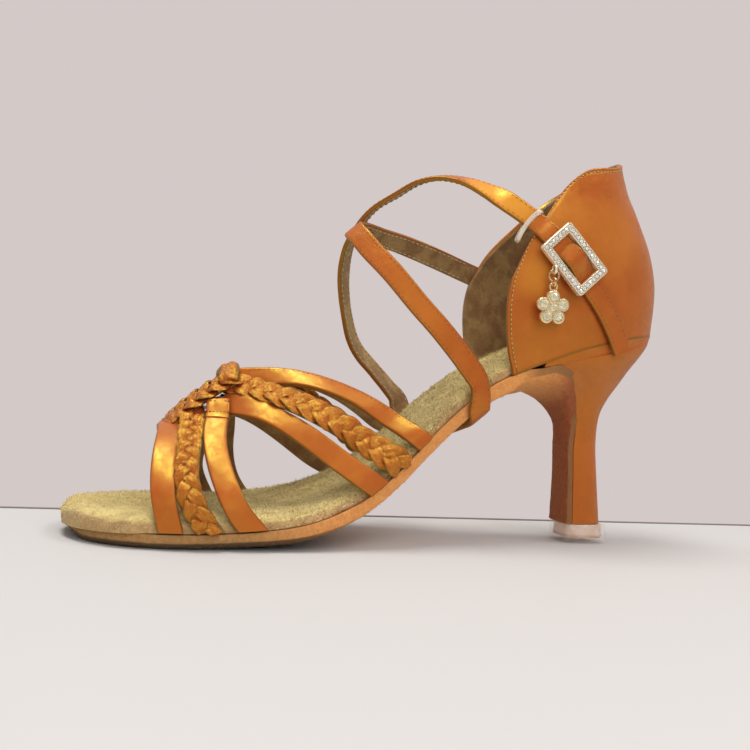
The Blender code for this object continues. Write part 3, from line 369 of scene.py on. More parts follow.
def counter_point(level, reach, side):
    """Outer face of the heel cup: level 0 to 1 upwards, reach 0 at the back to 1 in front.

    The inner side of the foot is cut lower behind the ankle.
    """
    base = COUNTER_BACK + (LEVEL_FRONT - COUNTER_BACK) * reach
    back = smooth(LEVEL_ROWS, level, 3)
    along = back + (front_edge(level, side) - back) * reach
    height = smooth(LEVEL_ROWS, level, 4)
    height += (smooth(LEVEL_ROWS, level, 2) - height) * reach
    half = (half_width(base) - GAP) * smooth(LEVEL_ROWS, level, 5)
    crown = COUNTER_CROWN * (2.2 * reach - 0.62) if side < 0 else INNER_CROWN
    rise = height * COUNTER_HEIGHT + crown * level ** 3 * 4 * reach * (1 - reach)
    return place(along, swing(base) + side * half, feather(base) + GAP + rise)


def counter_half(along, height, side):
    low = 0.0
    high = 1.0
    for _ in range(24):
        level = (low + high) / 2
        back = smooth(LEVEL_ROWS, level, 3)
        reach = (back - along) / (back - front_edge(level, side))
        here = counter_point(level, max(0.0, min(1.0, reach)), side)
        if here.z < height:
            low = level
        else:
            high = level
    return here.y


def counter_side(along, share, side, away=0.0):
    """Point beside the heel cup at a share of the length and of the full height."""
    height = share * FULL_HEIGHT
    point = place(along, counter_half(along, height, side), height)
    step = 0.001
    far = step / LENGTH
    ahead = counter_half(along + far, height, side) - counter_half(along - far, height, side)
    rise = counter_half(along, height + step, side) - counter_half(along, height - step, side)
    normal = Vector((-ahead, 2 * step, -rise)).normalized()
    if side < 0:
        normal.negate()
    return point + normal * away, normal


def outward_from(line):
    """Direction away from a line inside the foot."""
    def outward(point):
        best = None
        for a, b in zip(line, line[1:]):
            u = max(0.0, min(1.0, (point - a).dot(b - a) / (b - a).length_squared))
            near = a.lerp(b, u)
            if best is None or (point - near).length < (point - best).length:
                best = near
        return (point - best).normalized()
    return outward


def lowness(point, along, fade=LOW_FADE):
    top = feather(along) + INSOLE_THICKNESS + LOW_ABOVE
    low = max(0.0, min(1.0, 1 - (point.z - top) / fade))
    return low * low * (3 - 2 * low)


def clear_of_insole(points):
    moved = []
    for point in points:
        point = Vector(point)
        along = (point.x + ORIGIN_FROM_TOE) / LENGTH
        side = copysign(1, point.y)
        needed = swing(along) * side + half_width(along) - INSOLE_INSET + SEAM_GAP + STRAP_THICKNESS / 2
        across = abs(point.y)
        across += max(0.0, needed - across) * lowness(point, along)
        moved.append(Vector((point.x, side * across, point.z)))
    return moved


def eased(points, passes=120):
    """Points with their bends softened, ends kept."""
    table = np.array(points, float)
    for _ in range(passes):
        table[1:-1] = (table[:-2] + 2 * table[1:-1] + table[2:]) / 4
    return [Vector(p) for p in table]


def seam_anchor(along, side):
    across = swing(along) + side * (half_width(along) - INSOLE_INSET + SEAM_GAP + STRAP_THICKNESS / 2)
    step = 0.01
    way = place(along + step, 0, feather(along + step)) - place(along, 0, feather(along))
    way += Vector((0, side * (half_width(along + step) - half_width(along)), 0))
    return place(along, across, feather(along) + SEAM_GAP), way.normalized()


def strap_points(strap, side):
    back, up = (strap.back, strap.up) if side > 0 else (0.0, 0.0)
    anchor, way = seam_anchor(strap.rows[0][0] + back * 0.85, side)
    points = [anchor]
    for along, across, height in strap.rows[1:]:
        inner = min(1.0, across / 0.25)
        along += back * inner
        across *= min(1.0, (half_width(along) / BALL_WIDTH + 0.012) / 0.5)
        points.append(place(along, side * across * BALL_WIDTH, (height + up * inner) * VAMP_HEIGHT))
    return points, way


VAMP_LINE = [place(0.05, 0, 0.15 * VAMP_HEIGHT), place(0.28, 0, 0.25 * VAMP_HEIGHT),
             place(0.52, 0, 0.55 * VAMP_HEIGHT)]
vamp_outward = outward_from(VAMP_LINE)


def beside_sole(point):
    """Facing of a vamp strap, square to the sole's outline low down."""
    along = (point.x + ORIGIN_FROM_TOE) / LENGTH
    square = edge_normal(along, copysign(1, point.y))
    return vamp_outward(point).lerp(square, lowness(point, along, FACING_FADE)).normalized()


class Route:
    """A strap's centre line with its facing, read at any distance along it."""

    def __init__(self, points, normals, start_edge=None, end_edge=None, reach=0.0042, radius=None):
        self.radius = radius
        self.p = np.array(points, float)
        ahead = np.gradient(self.p, axis=0)
        self.t = ahead / norm(ahead, axis=1)[:, None]
        n = np.array(normals, float)
        n -= self.t * (n * self.t).sum(1)[:, None]
        self.n = n / norm(n, axis=1)[:, None]
        across = np.cross(self.t, self.n)
        self.a = across.copy()
        steps = norm(np.diff(self.p, axis=0), axis=1)
        self.s = np.concatenate([[0], np.cumsum(steps)])
        self.length = self.s[-1]
        for edge, distance in ((start_edge, self.s), (end_edge, self.length - self.s)):
            if edge is None:
                continue
            e = np.array(edge, float)
            flat = e - self.n * (self.n @ e)[:, None]
            near = np.abs((flat * across).sum(1))
            near = np.where(near < 0.2, 0.2, near) * np.sign((flat * across).sum(1))
            skew = flat / near[:, None]
            weight = np.interp(distance, [0, reach, 2 * reach, 3 * reach], [1, 0.6, 0.25, 0])
            self.a += (skew - across) * weight[:, None]

    def at(self, s, a, b):
        """Points at distances s along, a across and b out, of any one shape."""
        s, a, b = [np.asarray(value, float) for value in (s, a, b)]
        if self.radius:
            turn = a / self.radius
            a = (self.radius + b) * np.sin(turn)
            b = (self.radius + b) * np.cos(turn) - self.radius
        clamped = np.clip(s, 0, self.length)

        def read(table):
            return np.stack([np.interp(clamped, self.s, table[:, i]) for i in range(3)], -1)

        point = read(self.p) + read(self.t) * (s - clamped)[..., None]
        return point + read(self.a) * a[..., None] + read(self.n) * b[..., None]

    def frame(self, s, a, b):
        """Point, way ahead and facing at one place."""
        point = self.at(s, a, b)
        ahead = self.at(s + 0.0002, a, b) - self.at(s - 0.0002, a, b)
        facing = self.at(s, a, b + 0.001) - point
        return point, ahead / norm(ahead), facing / norm(facing)


def add_piece(name, verts, faces, finishes, slot, nodes=(), body="shoe", tags=None, kinds=None, angle=None):
    """Object of a mesh that rides on a body. Tags are three numbers a point for its finish."""
    mesh = bpy.data.meshes.new(name)
    mesh.from_pydata([tuple(v) for v in verts], [], [tuple(int(i) for i in f) for f in faces])
    for finish in finishes:
        mesh.materials.append(finish)
    if kinds is not None:
        mesh.polygons.foreach_set("material_index", np.array(kinds, np.int32))
    if tags is not None:
        layer = mesh.attributes.new("strip", "FLOAT_VECTOR", "POINT")
        layer.data.foreach_set("vector", np.array(tags, np.float32).ravel())
    bm = bmesh.new()
    bm.from_mesh(mesh)
    bmesh.ops.recalc_face_normals(bm, faces=bm.faces)
    bm.to_mesh(mesh)
    bm.free()
    mesh.shade_smooth()
    if angle is not None:
        mesh.set_sharp_from_angle(angle=radians(angle))
    obj = bpy.data.objects.new(name, mesh)
    scene.collection.objects.link(obj)
    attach(obj, body)
    if nodes:
        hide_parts(*nodes)
    return obj


def skin(grid, loop_rows=False, caps=True, start=0):
    """Faces of a grid of rings (rings, points), closed around each ring."""
    rows, count = grid.shape[:2]
    faces = []
    for i in range(rows if loop_rows else rows - 1):
        a = start + i * count
        b = start + ((i + 1) % rows) * count
        for j in range(count):
            k = (j + 1) % count
            faces.append((a + j, a + k, b + k, b + j))
    if caps and not loop_rows:
        faces.append(tuple(range(start + count - 1, start - 1, -1)))
        faces.append(tuple(range(start + (rows - 1) * count, start + rows * count)))
    return faces


class Pile:
    """Gathers several closed grids into one mesh."""

    def __init__(self):
        self.verts = []
        self.faces = []
        self.tags = []
        self.kinds = []
        self.count = 0

    def add(self, grid, tags=None, loop_rows=False, kinds=None):
        grid = np.asarray(grid, float)
        new = skin(grid, loop_rows, True, self.count)
        self.verts.append(grid.reshape(-1, 3))
        self.faces += new
        if tags is None:
            tags = np.zeros_like(grid)
        self.tags.append(np.asarray(tags, float).reshape(-1, 3))
        self.kinds += list(kinds) if kinds is not None else [0] * len(new)
        self.count += grid.shape[0] * grid.shape[1]

    def make(self, name, finishes, slot, **more):
        return add_piece(name, np.concatenate(self.verts), self.faces, finishes, slot,
                         tags=np.concatenate(self.tags), kinds=self.kinds, **more)


def band_section(width, thick, soft=0.0004, crown=0.0, inner=7, outer=11):
    """Round-edged flat section: lists of across, out, distance from the edge, and facing."""
    half = width / 2
    out = thick / 2
    points = [(a, -out, half - abs(a), -1) for a in np.linspace(-half + soft, half - soft, inner)]

    def corner(across, up, first, last, near, facing):
        for turn in np.linspace(first, last, 3):
            c = radians(turn)
            points.append((across * (half - soft) + soft * cos(c),
                           up * (out - soft) + soft * sin(c), near, facing))

    corner(1, -1, -60, 0, 0.0, -0.5)
    corner(1, 1, 10, 75, 0.0001, 1)
    for a in np.linspace(half - soft, -half + soft, outer):
        points.append((a, out + crown * (1 - (a / half) ** 2), half - abs(a), 1))
    corner(-1, 1, 105, 170, 0.0001, 1)
    corner(-1, -1, 180, 240, 0.0, -0.5)
    return np.array(points)


def strap_grid(route, section, start=0.0, end=None, step=0.0008, wave=0.0, lift=0.0):
    """Grid and tags of a flat strap between two distances along its route."""
    end = route.length if end is None else end
    count = max(3, int((end - start) / step) + 1)
    s = np.linspace(start, end, count)
    a = np.broadcast_to(section[:, 0], (count, len(section)))
    b = np.broadcast_to(section[:, 1], (count, len(section))).copy()
    if callable(lift):
        b = b + np.array([lift(x) for x in s])[:, None]
    else:
        b = b + lift
    if wave:
        for i, x in enumerate(s):
            for j in range(len(section)):
                b[i, j] += wave * noise.noise(Vector((x * 260, a[i, j] * 420, start * 90 + 3)))
    grid = route.at(np.broadcast_to(s[:, None], a.shape), a, b)
    tags = np.stack([np.broadcast_to(s[:, None], a.shape), a,
                     np.broadcast_to(section[:, 2], a.shape)], -1)
    facing = section[:, 3]
    ring_kinds = [1 if facing[j] < -0.9 and facing[(j + 1) % len(facing)] < -0.4 else 0
                  for j in range(len(facing))]
    kinds = ring_kinds * (count - 1) + [1, 1]
    return grid, tags, kinds


def make_strip(name, route, section, finishes, slot, start=0.0, end=None, step=0.0008, wave=0.0, lift=0.0,
               **more):
    grid, tags, kinds = strap_grid(route, section, start, end, step, wave, lift)
    pile = Pile()
    pile.add(grid, tags, False, kinds)
    pile.make(name, finishes, slot, **more)


def plait(pile, route, amplitude, strip, thick, rise, pitch, base, turned, seed, centre=0.0):
    """Three flat strips plaited along a route. Turned says which way the ears point."""
    count = int(route.length / 0.0006) + 1
    s = np.linspace(0.0, route.length, count)
    us = np.concatenate([np.linspace(-1, 1, 11), np.linspace(0.8, -0.8, 9)])
    top = np.concatenate([np.ones(11), -np.ones(9)])
    for k in range(3):
        theta = 2 * pi * (s / pitch + k / 3)
        swell = amplitude * (1 + 0.06 * np.sin(s * 700 + k * 2 + seed))
        a = swell * np.sin(theta)
        b = base + turned * rise * np.sin(2 * theta)
        slope = amplitude * 2 * pi / pitch * np.cos(theta)
        size = np.sqrt(1 + slope ** 2)
        way_s = -slope / size
        way_a = 1 / size
        wide = strip / 2 * (1 + 0.1 * np.sin(s * 900 + k * 4 + seed))
        profile = np.clip(1 - np.abs(us) ** 5, 0, 1) ** 0.6
        ss = s[:, None] + us * way_s[:, None] * wide[:, None]
        off = centre(s) if callable(centre) else np.full(count, centre)
        aa = off[:, None] + a[:, None] + us * way_a[:, None] * wide[:, None]
        fold = np.zeros((count, len(us)))
        for i in range(count):
            for j in range(len(us)):
                spot = Vector((s[i] * 480 + seed * 7, us[j] * 2.2, k * 5.3))
                fold[i, j] = noise.noise(spot) + 0.7 * noise.noise(spot * 2.3)
        bb = b[:, None] + top * thick / 2 * (0.25 + 0.75 * profile) + fold * 0.00042
        grid = route.at(ss, aa, bb)
        tags = np.stack([np.broadcast_to(s[:, None], ss.shape) + k * 0.3,
                         np.broadcast_to(us * strip / 2, ss.shape),
                         np.broadcast_to((1 - np.abs(us)) * strip / 2 + 0.00005, ss.shape)], -1)
        pile.add(grid, tags)


def stitch_pile(pile, route, rows, length, radius, sink=0.3):
    """Small round stitches along lines on a route: rows of (start, end, pitch, across, out)."""
    for start, end, pitch, a, b in rows:
        count = max(1, int(abs(end - start) / pitch))
        for i in range(count):
            s = start + (end - start) * (i + 0.5) / count
            point, ahead, facing = route.frame(s, a, b)
            add_stitch(pile, point, ahead, facing, length, radius, sink)


def add_stitch(pile, point, ahead, facing, length, radius, sink=0.3):
    side = np.cross(ahead, facing)
    rings = []
    for along, size, drop in ((-0.5, 0.35, 1.1), (-0.34, 0.95, 0.35), (0, 1.05, 0), (0.34, 0.95, 0.35),
                              (0.5, 0.35, 1.1)):
        centre = point + ahead * along * length + facing * radius * (1 - sink * 2 - drop)
        rings.append([centre + radius * size * (side * cos(t) + facing * sin(t))
                      for t in np.linspace(0, 2 * pi, 7)[:-1]])
    pile.add(np.array(rings))


class Tree:
    """Short hand for a node tree."""

    def __init__(self, tree):
        self.tree = tree

    def add(self, kind, settings=None, **inputs):
        node = self.tree.nodes.new(kind)
        for key, value in (settings or {}).items():
            setattr(node, key, value)
        for key, value in inputs.items():
            self.put(node.inputs[int(key[1:]) if key[1:].isdigit() else key.replace("_", " ")], value)
        return node

    def put(self, socket, value):
        if isinstance(value, bpy.types.NodeSocket):
            self.tree.links.new(value, socket)
        else:
            socket.default_value = value

    def ramp(self, value, low, high, out_low=0.0, out_high=1.0):
        return self.add("ShaderNodeMapRange", {"interpolation_type": "SMOOTHSTEP"}, i0=value, i1=low,
                        i2=high, i3=out_low, i4=out_high).outputs[0]

    def mix(self, share, a, b):
        a, b = [(*c, 1.0) if isinstance(c, tuple) else c for c in (a, b)]
        return self.add("ShaderNodeMix", {"data_type": "RGBA"}, i0=share, i6=a, i7=b).outputs[2]


class Nodes(Tree):
    """Short hand for a new material."""

    def __init__(self, name):
        self.material = bpy.data.materials.new(name)
        self.material.use_nodes = True
        super().__init__(self.material.node_tree)
        self.shader = self.tree.nodes["Principled BSDF"]

    def set(self, **inputs):
        for key, value in inputs.items():
            self.put(self.shader.inputs[key.replace("_", " ")], value)

    def math(self, operation, a, b=0.0):
        return self.add("ShaderNodeMath", {"operation": operation}, i0=a, i1=b).outputs[0]

    def noise(self, vector, scale, detail=3.0, rough=0.55, distortion=0.0):
        return self.add("ShaderNodeTexNoise", i0=vector, Scale=scale, Detail=detail,
                        Roughness=rough, Distortion=distortion).outputs[0]

    def stretch(self, vector, by):
        return self.add("ShaderNodeVectorMath", {"operation": "MULTIPLY"}, i0=vector, i1=by).outputs[0]

    def away_from(self, centre):
        return self.add("ShaderNodeVectorMath", {"operation": "DISTANCE"}, i0=self.place(),
                        i1=tuple(centre)).outputs[1]

    def bump(self, height, strength, distance):
        return self.add("ShaderNodeBump", Strength=strength, Distance=distance, Height=height).outputs[0]

    def split(self, vector):
        return self.add("ShaderNodeSeparateXYZ", i0=vector).outputs

    def place(self):
        return self.add("ShaderNodeTexCoord").outputs["Object"]

    def facing(self):
        return self.split(self.add("ShaderNodeNewGeometry").outputs["Normal"])[2]

    def strip(self):
        tags = self.add("ShaderNodeAttribute", {"attribute_name": "strip"}).outputs["Vector"]
        return tags, self.split(tags)


COPPER = (0.405, 0.076, 0.0205)
COPPER_DEEP = (0.365, 0.064, 0.017)
COPPER_PALE = (0.45, 0.095, 0.0255)
# Dark colour of specks, cut edges and the ring mark, also painted in as shade in creases, grooves, gaps and
# between plait strands
DARK_MARK_AND_SHADE = (0.15, 0.04, 0.012)
GOLD_SHINE = (1.0, 0.84, 0.08, 1.0)
# Copper-gold mixed into the colour as painted highlights
COPPER_PAINTED_HIGHLIGHT = (0.66, 0.265, 0.036)


def leather(name, **more):
    return satin_nodes(name, **more).material


def satin_nodes(name, pale=0.0, crease=0.5, grain=1.0, pucker=0.0, rough=0.36, rim=0.00042, shine=0.75,
                dark=0.75, ior=1.8, gleams=()):
    """Satin leather: copper with a golden shine, specks, dented creases along it darkened as painted shade,
    dark edges that on the plaits are widened into painted shade between strands, and golden patches painted
    in as highlights.
    """
    n = Nodes(name)
    place_at = n.place()
    vector, parts = n.strip()
    tone = n.noise(place_at, 95.0, 4.0, 0.6)
    colour = n.mix(n.ramp(tone, 0.35, 0.68), COPPER_DEEP, COPPER)
    light = n.ramp(n.noise(place_at, 240.0, 3.0, 0.6), 0.5, 0.8, 0.0, 0.5 + pale)
    colour = n.mix(light, colour, COPPER_PALE)
    # Golden patches round given places: painted highlights
    for centre, reach, strength in gleams:
        share = n.ramp(n.away_from(centre), 0.25 * reach, reach, strength, 0.0)
        colour = n.mix(share, colour, COPPER_PAINTED_HIGHLIGHT)
    speck = n.ramp(n.noise(place_at, 1500.0, 2.0, 0.7), 0.64, 0.72)
    rare = n.ramp(n.noise(place_at, 210.0, 2.0), 0.46, 0.62)
    colour = n.mix(n.math("MULTIPLY", speck, n.math("MULTIPLY", rare, 0.55)), colour, DARK_MARK_AND_SHADE)
    # Crease lines along the strap: dented, and darkened as painted shade in the creases
    lines = n.noise(n.stretch(vector, (130.0, 2300.0, 0.0)), 1.0, 2.0, 0.6)
    line = n.ramp(lines, 0.66, 0.72)
    colour = n.mix(n.math("MULTIPLY", line, crease * 0.7), colour, DARK_MARK_AND_SHADE)
    # Dark edges: the cut edges, and with the plaits' wider rim painted shade between strands
    edge = n.ramp(parts[2], 0.00012, rim, 1.0, 0.0)
    colour = n.mix(n.math("MULTIPLY", edge, dark), colour, DARK_MARK_AND_SHADE)
    grit = n.noise(place_at, 2600.0, 3.0, 0.6)
    soft = n.noise(place_at, 420.0, 3.0, 0.55)
    height = n.math("ADD", n.math("MULTIPLY", grit, 0.25 * grain), soft)
    if pucker:
        folds = n.noise(n.stretch(vector, (480.0, 1500.0, 0.0)), 1.0, 4.0, 0.65, 1.2)
        height = n.math("ADD", height, n.math("MULTIPLY", folds, 2.5 * pucker))
    height = n.math("SUBTRACT", height, n.math("MULTIPLY", line, crease * 1.5))
    n.set(Base_Color=colour, Roughness=n.ramp(soft, 0.3, 0.75, rough - 0.05, rough + 0.12),
          Normal=n.bump(height, 0.22 + 0.5 * pucker, 0.00025))
    n.set(IOR=ior, Specular_IOR_Level=shine, Specular_Tint=GOLD_SHINE)
    return n


def suede(name, low, high, fleck):
    """Napped leather: brushed patches, flecks and a soft rough surface."""
    n = Nodes(name)
    place_at = n.place()
    patch = n.noise(place_at, 150.0, 4.0, 0.6, 0.6)
    colour = n.mix(n.ramp(patch, 0.36, 0.66), low, high)
    fine = n.noise(place_at, 1100.0, 3.0, 0.75, 0.4)
    colour = n.mix(n.ramp(fine, 0.55, 0.72, 0.0, 0.75), colour, fleck)
    pale = n.noise(n.stretch(place_at, (1.0, 1.6, 1.0)), 1500.0, 3.0, 0.7)
    colour = n.mix(n.ramp(pale, 0.6, 0.75, 0.0, 0.5), colour, tuple(min(1.0, c * 1.5) for c in high))
    nap = n.noise(place_at, 760.0, 5.0, 0.75, 0.8)
    n.set(Base_Color=colour, Roughness=0.95, Normal=n.bump(nap, 0.75, 0.0006))
    n.set(Sheen_Weight=0.35, Sheen_Roughness=0.45, Sheen_Tint=(0.95, 0.85, 0.55, 1.0),
          Specular_IOR_Level=0.15)
    return n.material


def metal(name, colour, rough=0.2, metallic=1.0):
    n = Nodes(name)
    wear = n.noise(n.place(), 900.0, 3.0)
    n.set(Base_Color=n.mix(n.ramp(wear, 0.35, 0.7), colour, tuple(c * 0.86 for c in colour)),
          Roughness=n.ramp(wear, 0.3, 0.7, rough, rough + 0.12), Normal=n.bump(wear, 0.1, 0.0001))
    n.set(Metallic=metallic)
    return n.material


def thread(name, colour):
    n = Nodes(name)
    twist = n.noise(n.place(), 3200.0, 2.0)
    n.set(Base_Color=n.mix(twist, tuple(c * 0.7 for c in colour), colour), Roughness=0.45,
          Normal=n.bump(twist, 0.4, 0.0001))
    return n.material


def stone(name, colour, metallic):
    n = Nodes(name)
    facet = n.noise(n.place(), 1700.0, 1.0)
    n.set(Base_Color=n.mix(n.ramp(facet, 0.4, 0.6), colour, tuple(c * 0.7 for c in colour)), Roughness=0.1)
    n.set(Metallic=metallic, Coat_Weight=1.0, Coat_Roughness=0.03)
    return n.material


LEATHER = leather("strap_satin", crease=0.6)
# The plait's wider, darker edge rim is painted shade between its strands
PLAIT = leather("plait_satin", pale=0.1, crease=0.35, pucker=0.95, rough=0.22, rim=0.0006,
                shine=1.0, dark=0.85, ior=1.88)
HEEL = leather("heel_satin", crease=0.0, grain=1.0, rough=0.42)
LINING = suede("lining_suede", (0.215, 0.115, 0.05), (0.34, 0.215, 0.09), (0.13, 0.07, 0.033))
GOLD_THREAD = thread("gold_thread", (0.62, 0.4, 0.13))
DARK_THREAD = thread("dark_thread", (0.2, 0.062, 0.018))
PALE_THREAD = thread("pale_thread", (0.56, 0.46, 0.24))
BUCKLE_METAL = metal("buckle_gold", (1.0, 0.91, 0.7), 0.24, 0.65)
RING_METAL = metal("ring_gold", (0.9, 0.62, 0.36), 0.2)
FLOWER_METAL = metal("flower_gold", (1.0, 0.83, 0.5), 0.22, 0.8)
STONE = stone("clear_stones", (1.0, 1.0, 0.97), 0.35)
ROSE_STONE = stone("flower_stones", (0.96, 0.88, 0.62), 0.45)


def loft_rings(rings):
    return np.array([[tuple(p) for p in ring] for ring in rings])


def add_loft(name, rings, finish, slot, tags=None, **more):
    """Piece skinned over its rings, closed at both ends."""
    grid = loft_rings(rings)
    if tags is not None:
        tags = tags.reshape(-1, 3)
    return add_piece(name, grid.reshape(-1, 3), skin(grid), [finish], slot, tags=tags, **more)


def rough_up(grid, normals, scale, depth):
    """Move points along normals by soft noise."""
    flat = grid.reshape(-1, 3)
    ways = normals.reshape(-1, 3)
    moved = np.array([noise.noise(Vector(p) * scale) for p in flat])
    return (flat + ways * (moved * depth)[:, None]).reshape(grid.shape)


def grid_normals(grid):
    """Outward normals of a closed-ring grid, from neighbours."""
    along = np.gradient(grid, axis=0)
    around = np.roll(grid, -1, axis=1) - np.roll(grid, 1, axis=1)
    n = np.cross(around, along)
    n /= np.maximum(norm(n, axis=2), 1e-12)[..., None]
    centre = grid.mean(axis=1, keepdims=True)
    flip = np.sign(((grid - centre) * n).sum(2).mean())
    return n * flip


def make_outsole():
    rings = []
    stations = spaced(0.002, 0.236, 36, 0.6)[:-1] + spaced(0.236, 0.705, 90)
    backs = list(np.linspace(1, -1, 15))
    for along in stations:
        top = feather(along)
        ring = [underside(along, sin(t)) for t in turns(45)]
        ring += [place(along, swing(along) + half_width(along) * side, top) for side in backs]
        rings.append(ring)
    first = [breast_point(BREAST[0], sin(t), 0.0) for t in turns(45)]
    first += [breast_point(BREAST[0], side, 1.0) for side in backs]
    last = rings[-1]
    for k in range(1, 6):
        rings.append([a.lerp(b, k / 6) for a, b in zip(last, first)])
    bend = len(rings)
    for at in np.linspace(0, 10, 91):
        row = breast_row(at)
        ring = [breast_point(row, sin(t), 0.0) for t in turns(45)]
        ring += [breast_point(row, side, 1.0) for side in backs]
        rings.append(ring)
    grid = loft_rings(rings)
    normals = grid_normals(grid)
    grid[:, 1:44] = rough_up(grid, normals, 700, 0.00012)[:, 1:44]
    tags = np.zeros_like(grid)
    rows = np.arange(len(grid), dtype=float)
    tags[..., 0] = np.clip((rows - bend) / 90, -1, 1)[:, None]
    side = np.abs(np.array([sin(t) for t in turns(45)] + backs))
    tags[..., 1] = side[None, :]
    add_loft("outsole_suede", grid, outsole_finish(), "outsole_suede", tags, nodes=["outsole"], angle=55)
    for name, cells, facings, count, seed in (
            ("outsole_nap", slice(0, 45), slice(0, 45), 6000, 31),
            ("outsole_edge_nap", slice(44, 47), slice(43, 46), 1500, 37),
            ("outsole_rim_nap", slice(57, 60), slice(57, 60), 1500, 41)):
        make_fuzz(name, grid[:bend, cells], normals[:bend, facings], count, SOLE_HAIR, "outsole_suede",
                  0.0003, 0.0007, 0.00006, seed)


def outsole_finish():
    """Suede of the sole: worn tread, dark breast, a pale cut edge, and painted shade darkening the
    downward-facing rounding of its front part.
    """
    n = Nodes("sole_suede")
    place_at = n.place()
    _, parts = n.strip()
    patch = n.noise(place_at, 760.0, 5.0, 0.7, 0.6)
    colour = n.mix(n.ramp(patch, 0.3, 0.72), (0.625, 0.25, 0.076), (0.765, 0.348, 0.108))
    x_at, _, height_at = n.split(place_at)
    khaki = n.mix(n.ramp(patch, 0.3, 0.72), (0.34, 0.178, 0.064), (0.45, 0.252, 0.098))
    colour = n.mix(n.ramp(x_at, 0.0, 0.045, 1.0, 0.0), colour, khaki)
    down = n.ramp(parts[0], 0.1, 0.42)
    dark = n.mix(n.ramp(patch, 0.3, 0.72), (0.27, 0.072, 0.027), (0.36, 0.115, 0.044))
    colour = n.mix(down, colour, dark)
    fine = n.noise(place_at, 1200.0, 3.0, 0.75, 0.4)
    colour = n.mix(n.ramp(fine, 0.56, 0.74, 0.0, 0.6), colour, (0.15, 0.075, 0.03))
    cut = n.math("MULTIPLY", n.ramp(parts[1], 0.985, 0.998), n.ramp(parts[0], -0.05, 0.1))
    colour = n.mix(n.math("MULTIPLY", cut, 0.8), colour, (0.23, 0.12, 0.048))
    under = n.facing()
    tread = n.math("MULTIPLY", n.ramp(height_at, 0.0006, 0.004, 1.0, 0.0),
                   n.ramp(under, -0.9, -0.6, 1.0, 0.0))
    patches = n.ramp(n.noise(place_at, 60.0, 5.0, 0.7), 0.4, 0.65)
    worn = n.mix(patches, (0.19, 0.135, 0.085), (0.09, 0.065, 0.045))
    colour = n.mix(n.math("MULTIPLY", tread, 0.8), colour, worn)
    # Downward-facing rounding of the front part darkened: painted shade under the sole's edge
    painted_underside_shade = n.math("MULTIPLY", n.ramp(under, -0.55, -0.18, 1.0, 0.0), n.ramp(x_at, 0.025, 0.055, 1.0, 0.0))
    colour = n.mix(n.math("MULTIPLY", painted_underside_shade, 0.85), colour, (0.06, 0.042, 0.028))
    nap = n.noise(place_at, 800.0, 5.0, 0.75, 0.8)
    n.set(Base_Color=colour, Roughness=0.95, Normal=n.bump(nap, 0.8, 0.0006))
    n.set(Sheen_Weight=0.12, Sheen_Roughness=0.45, Sheen_Tint=(0.95, 0.7, 0.38, 1.0),
          Specular_IOR_Level=0.15)
    return n.material


def make_insole():
    seat_inset = COUNTER_WALL + 3 * GAP
    end = COUNTER_BACK * LENGTH - seat_inset
    first = -0.0012
    rings = []
    for share in spaced(0.0008, 0.994, 190, 0.85):
        along = (first + share * (end - first)) / LENGTH
        tuck = max(0.0, min(1.0, (along - TUCK_START) / (TUCK_END - TUCK_START)))
        free = max(0.0, min(1.0, (0.125 - along) / 0.03))
        front = PAD_INSET - (PAD_INSET + PAD_OVER) * free
        inset = front + (seat_inset - front) * tuck * tuck * (3 - 2 * tuck)
        half = max(half_width(share) - inset, 0.003)
        low = feather(along) + GAP / 2
        front_end = 1 - min(1.0, share / 0.04)
        round_end = 0.16 + 0.84 * (1 - front_end ** 2.6) ** 0.62
        round_end = min(round_end, (1 - share) / 0.02 + 0.45)
        ring = []
        for turn in turns(73):
            across = half * copysign(abs(sin(turn)) ** 0.62, turn)
            height = INSOLE_THICKNESS * round_end * max(cos(turn), 0.0) ** 0.5
            height -= INSOLE_DISH * (1 - (across / half) ** 2)
            dome = 0.0012 * exp(-((along - 0.13) / 0.08) ** 2) * cos(turn) ** 0.5
            ring.append(place(along, swing(along) + across, low + 0.0002 + max(height, 0.0) + dome))
        for k in (0, 1, 71, 72):
            ring[k].z -= PAD_SKIRT * max(0.0, 1 - along / 0.118) * (1.0 if k in (0, 72) else 0.5)
        for side in np.linspace(0.97, -0.97, 11):
            ring.append(place(along, swing(along) + half * side, low))
        rings.append(ring)
    grid = loft_rings(rings)
    normals = grid_normals(grid)
    rough = grid.copy()
    rough = rough_up(rough, normals, 260, 0.00035)
    rough = rough_up(rough, normals, 1100, 0.00022)
    grid[1:-1, 1:72] = rough[1:-1, 1:72]
    pad = add_loft("insole_pad", grid, insole_finish(), "insole_suede", nodes=["insole"], angle=70)
    make_fuzz("insole_nap", grid[:, 3:70], normals[:, 3:70], 16000, INSOLE_HAIR, "insole_suede")
    make_fuzz("insole_nap_dark", grid[62:, 3:70], normals[62:, 3:70], 7000, DARK_HAIR, "insole_suede",
              seed=23)


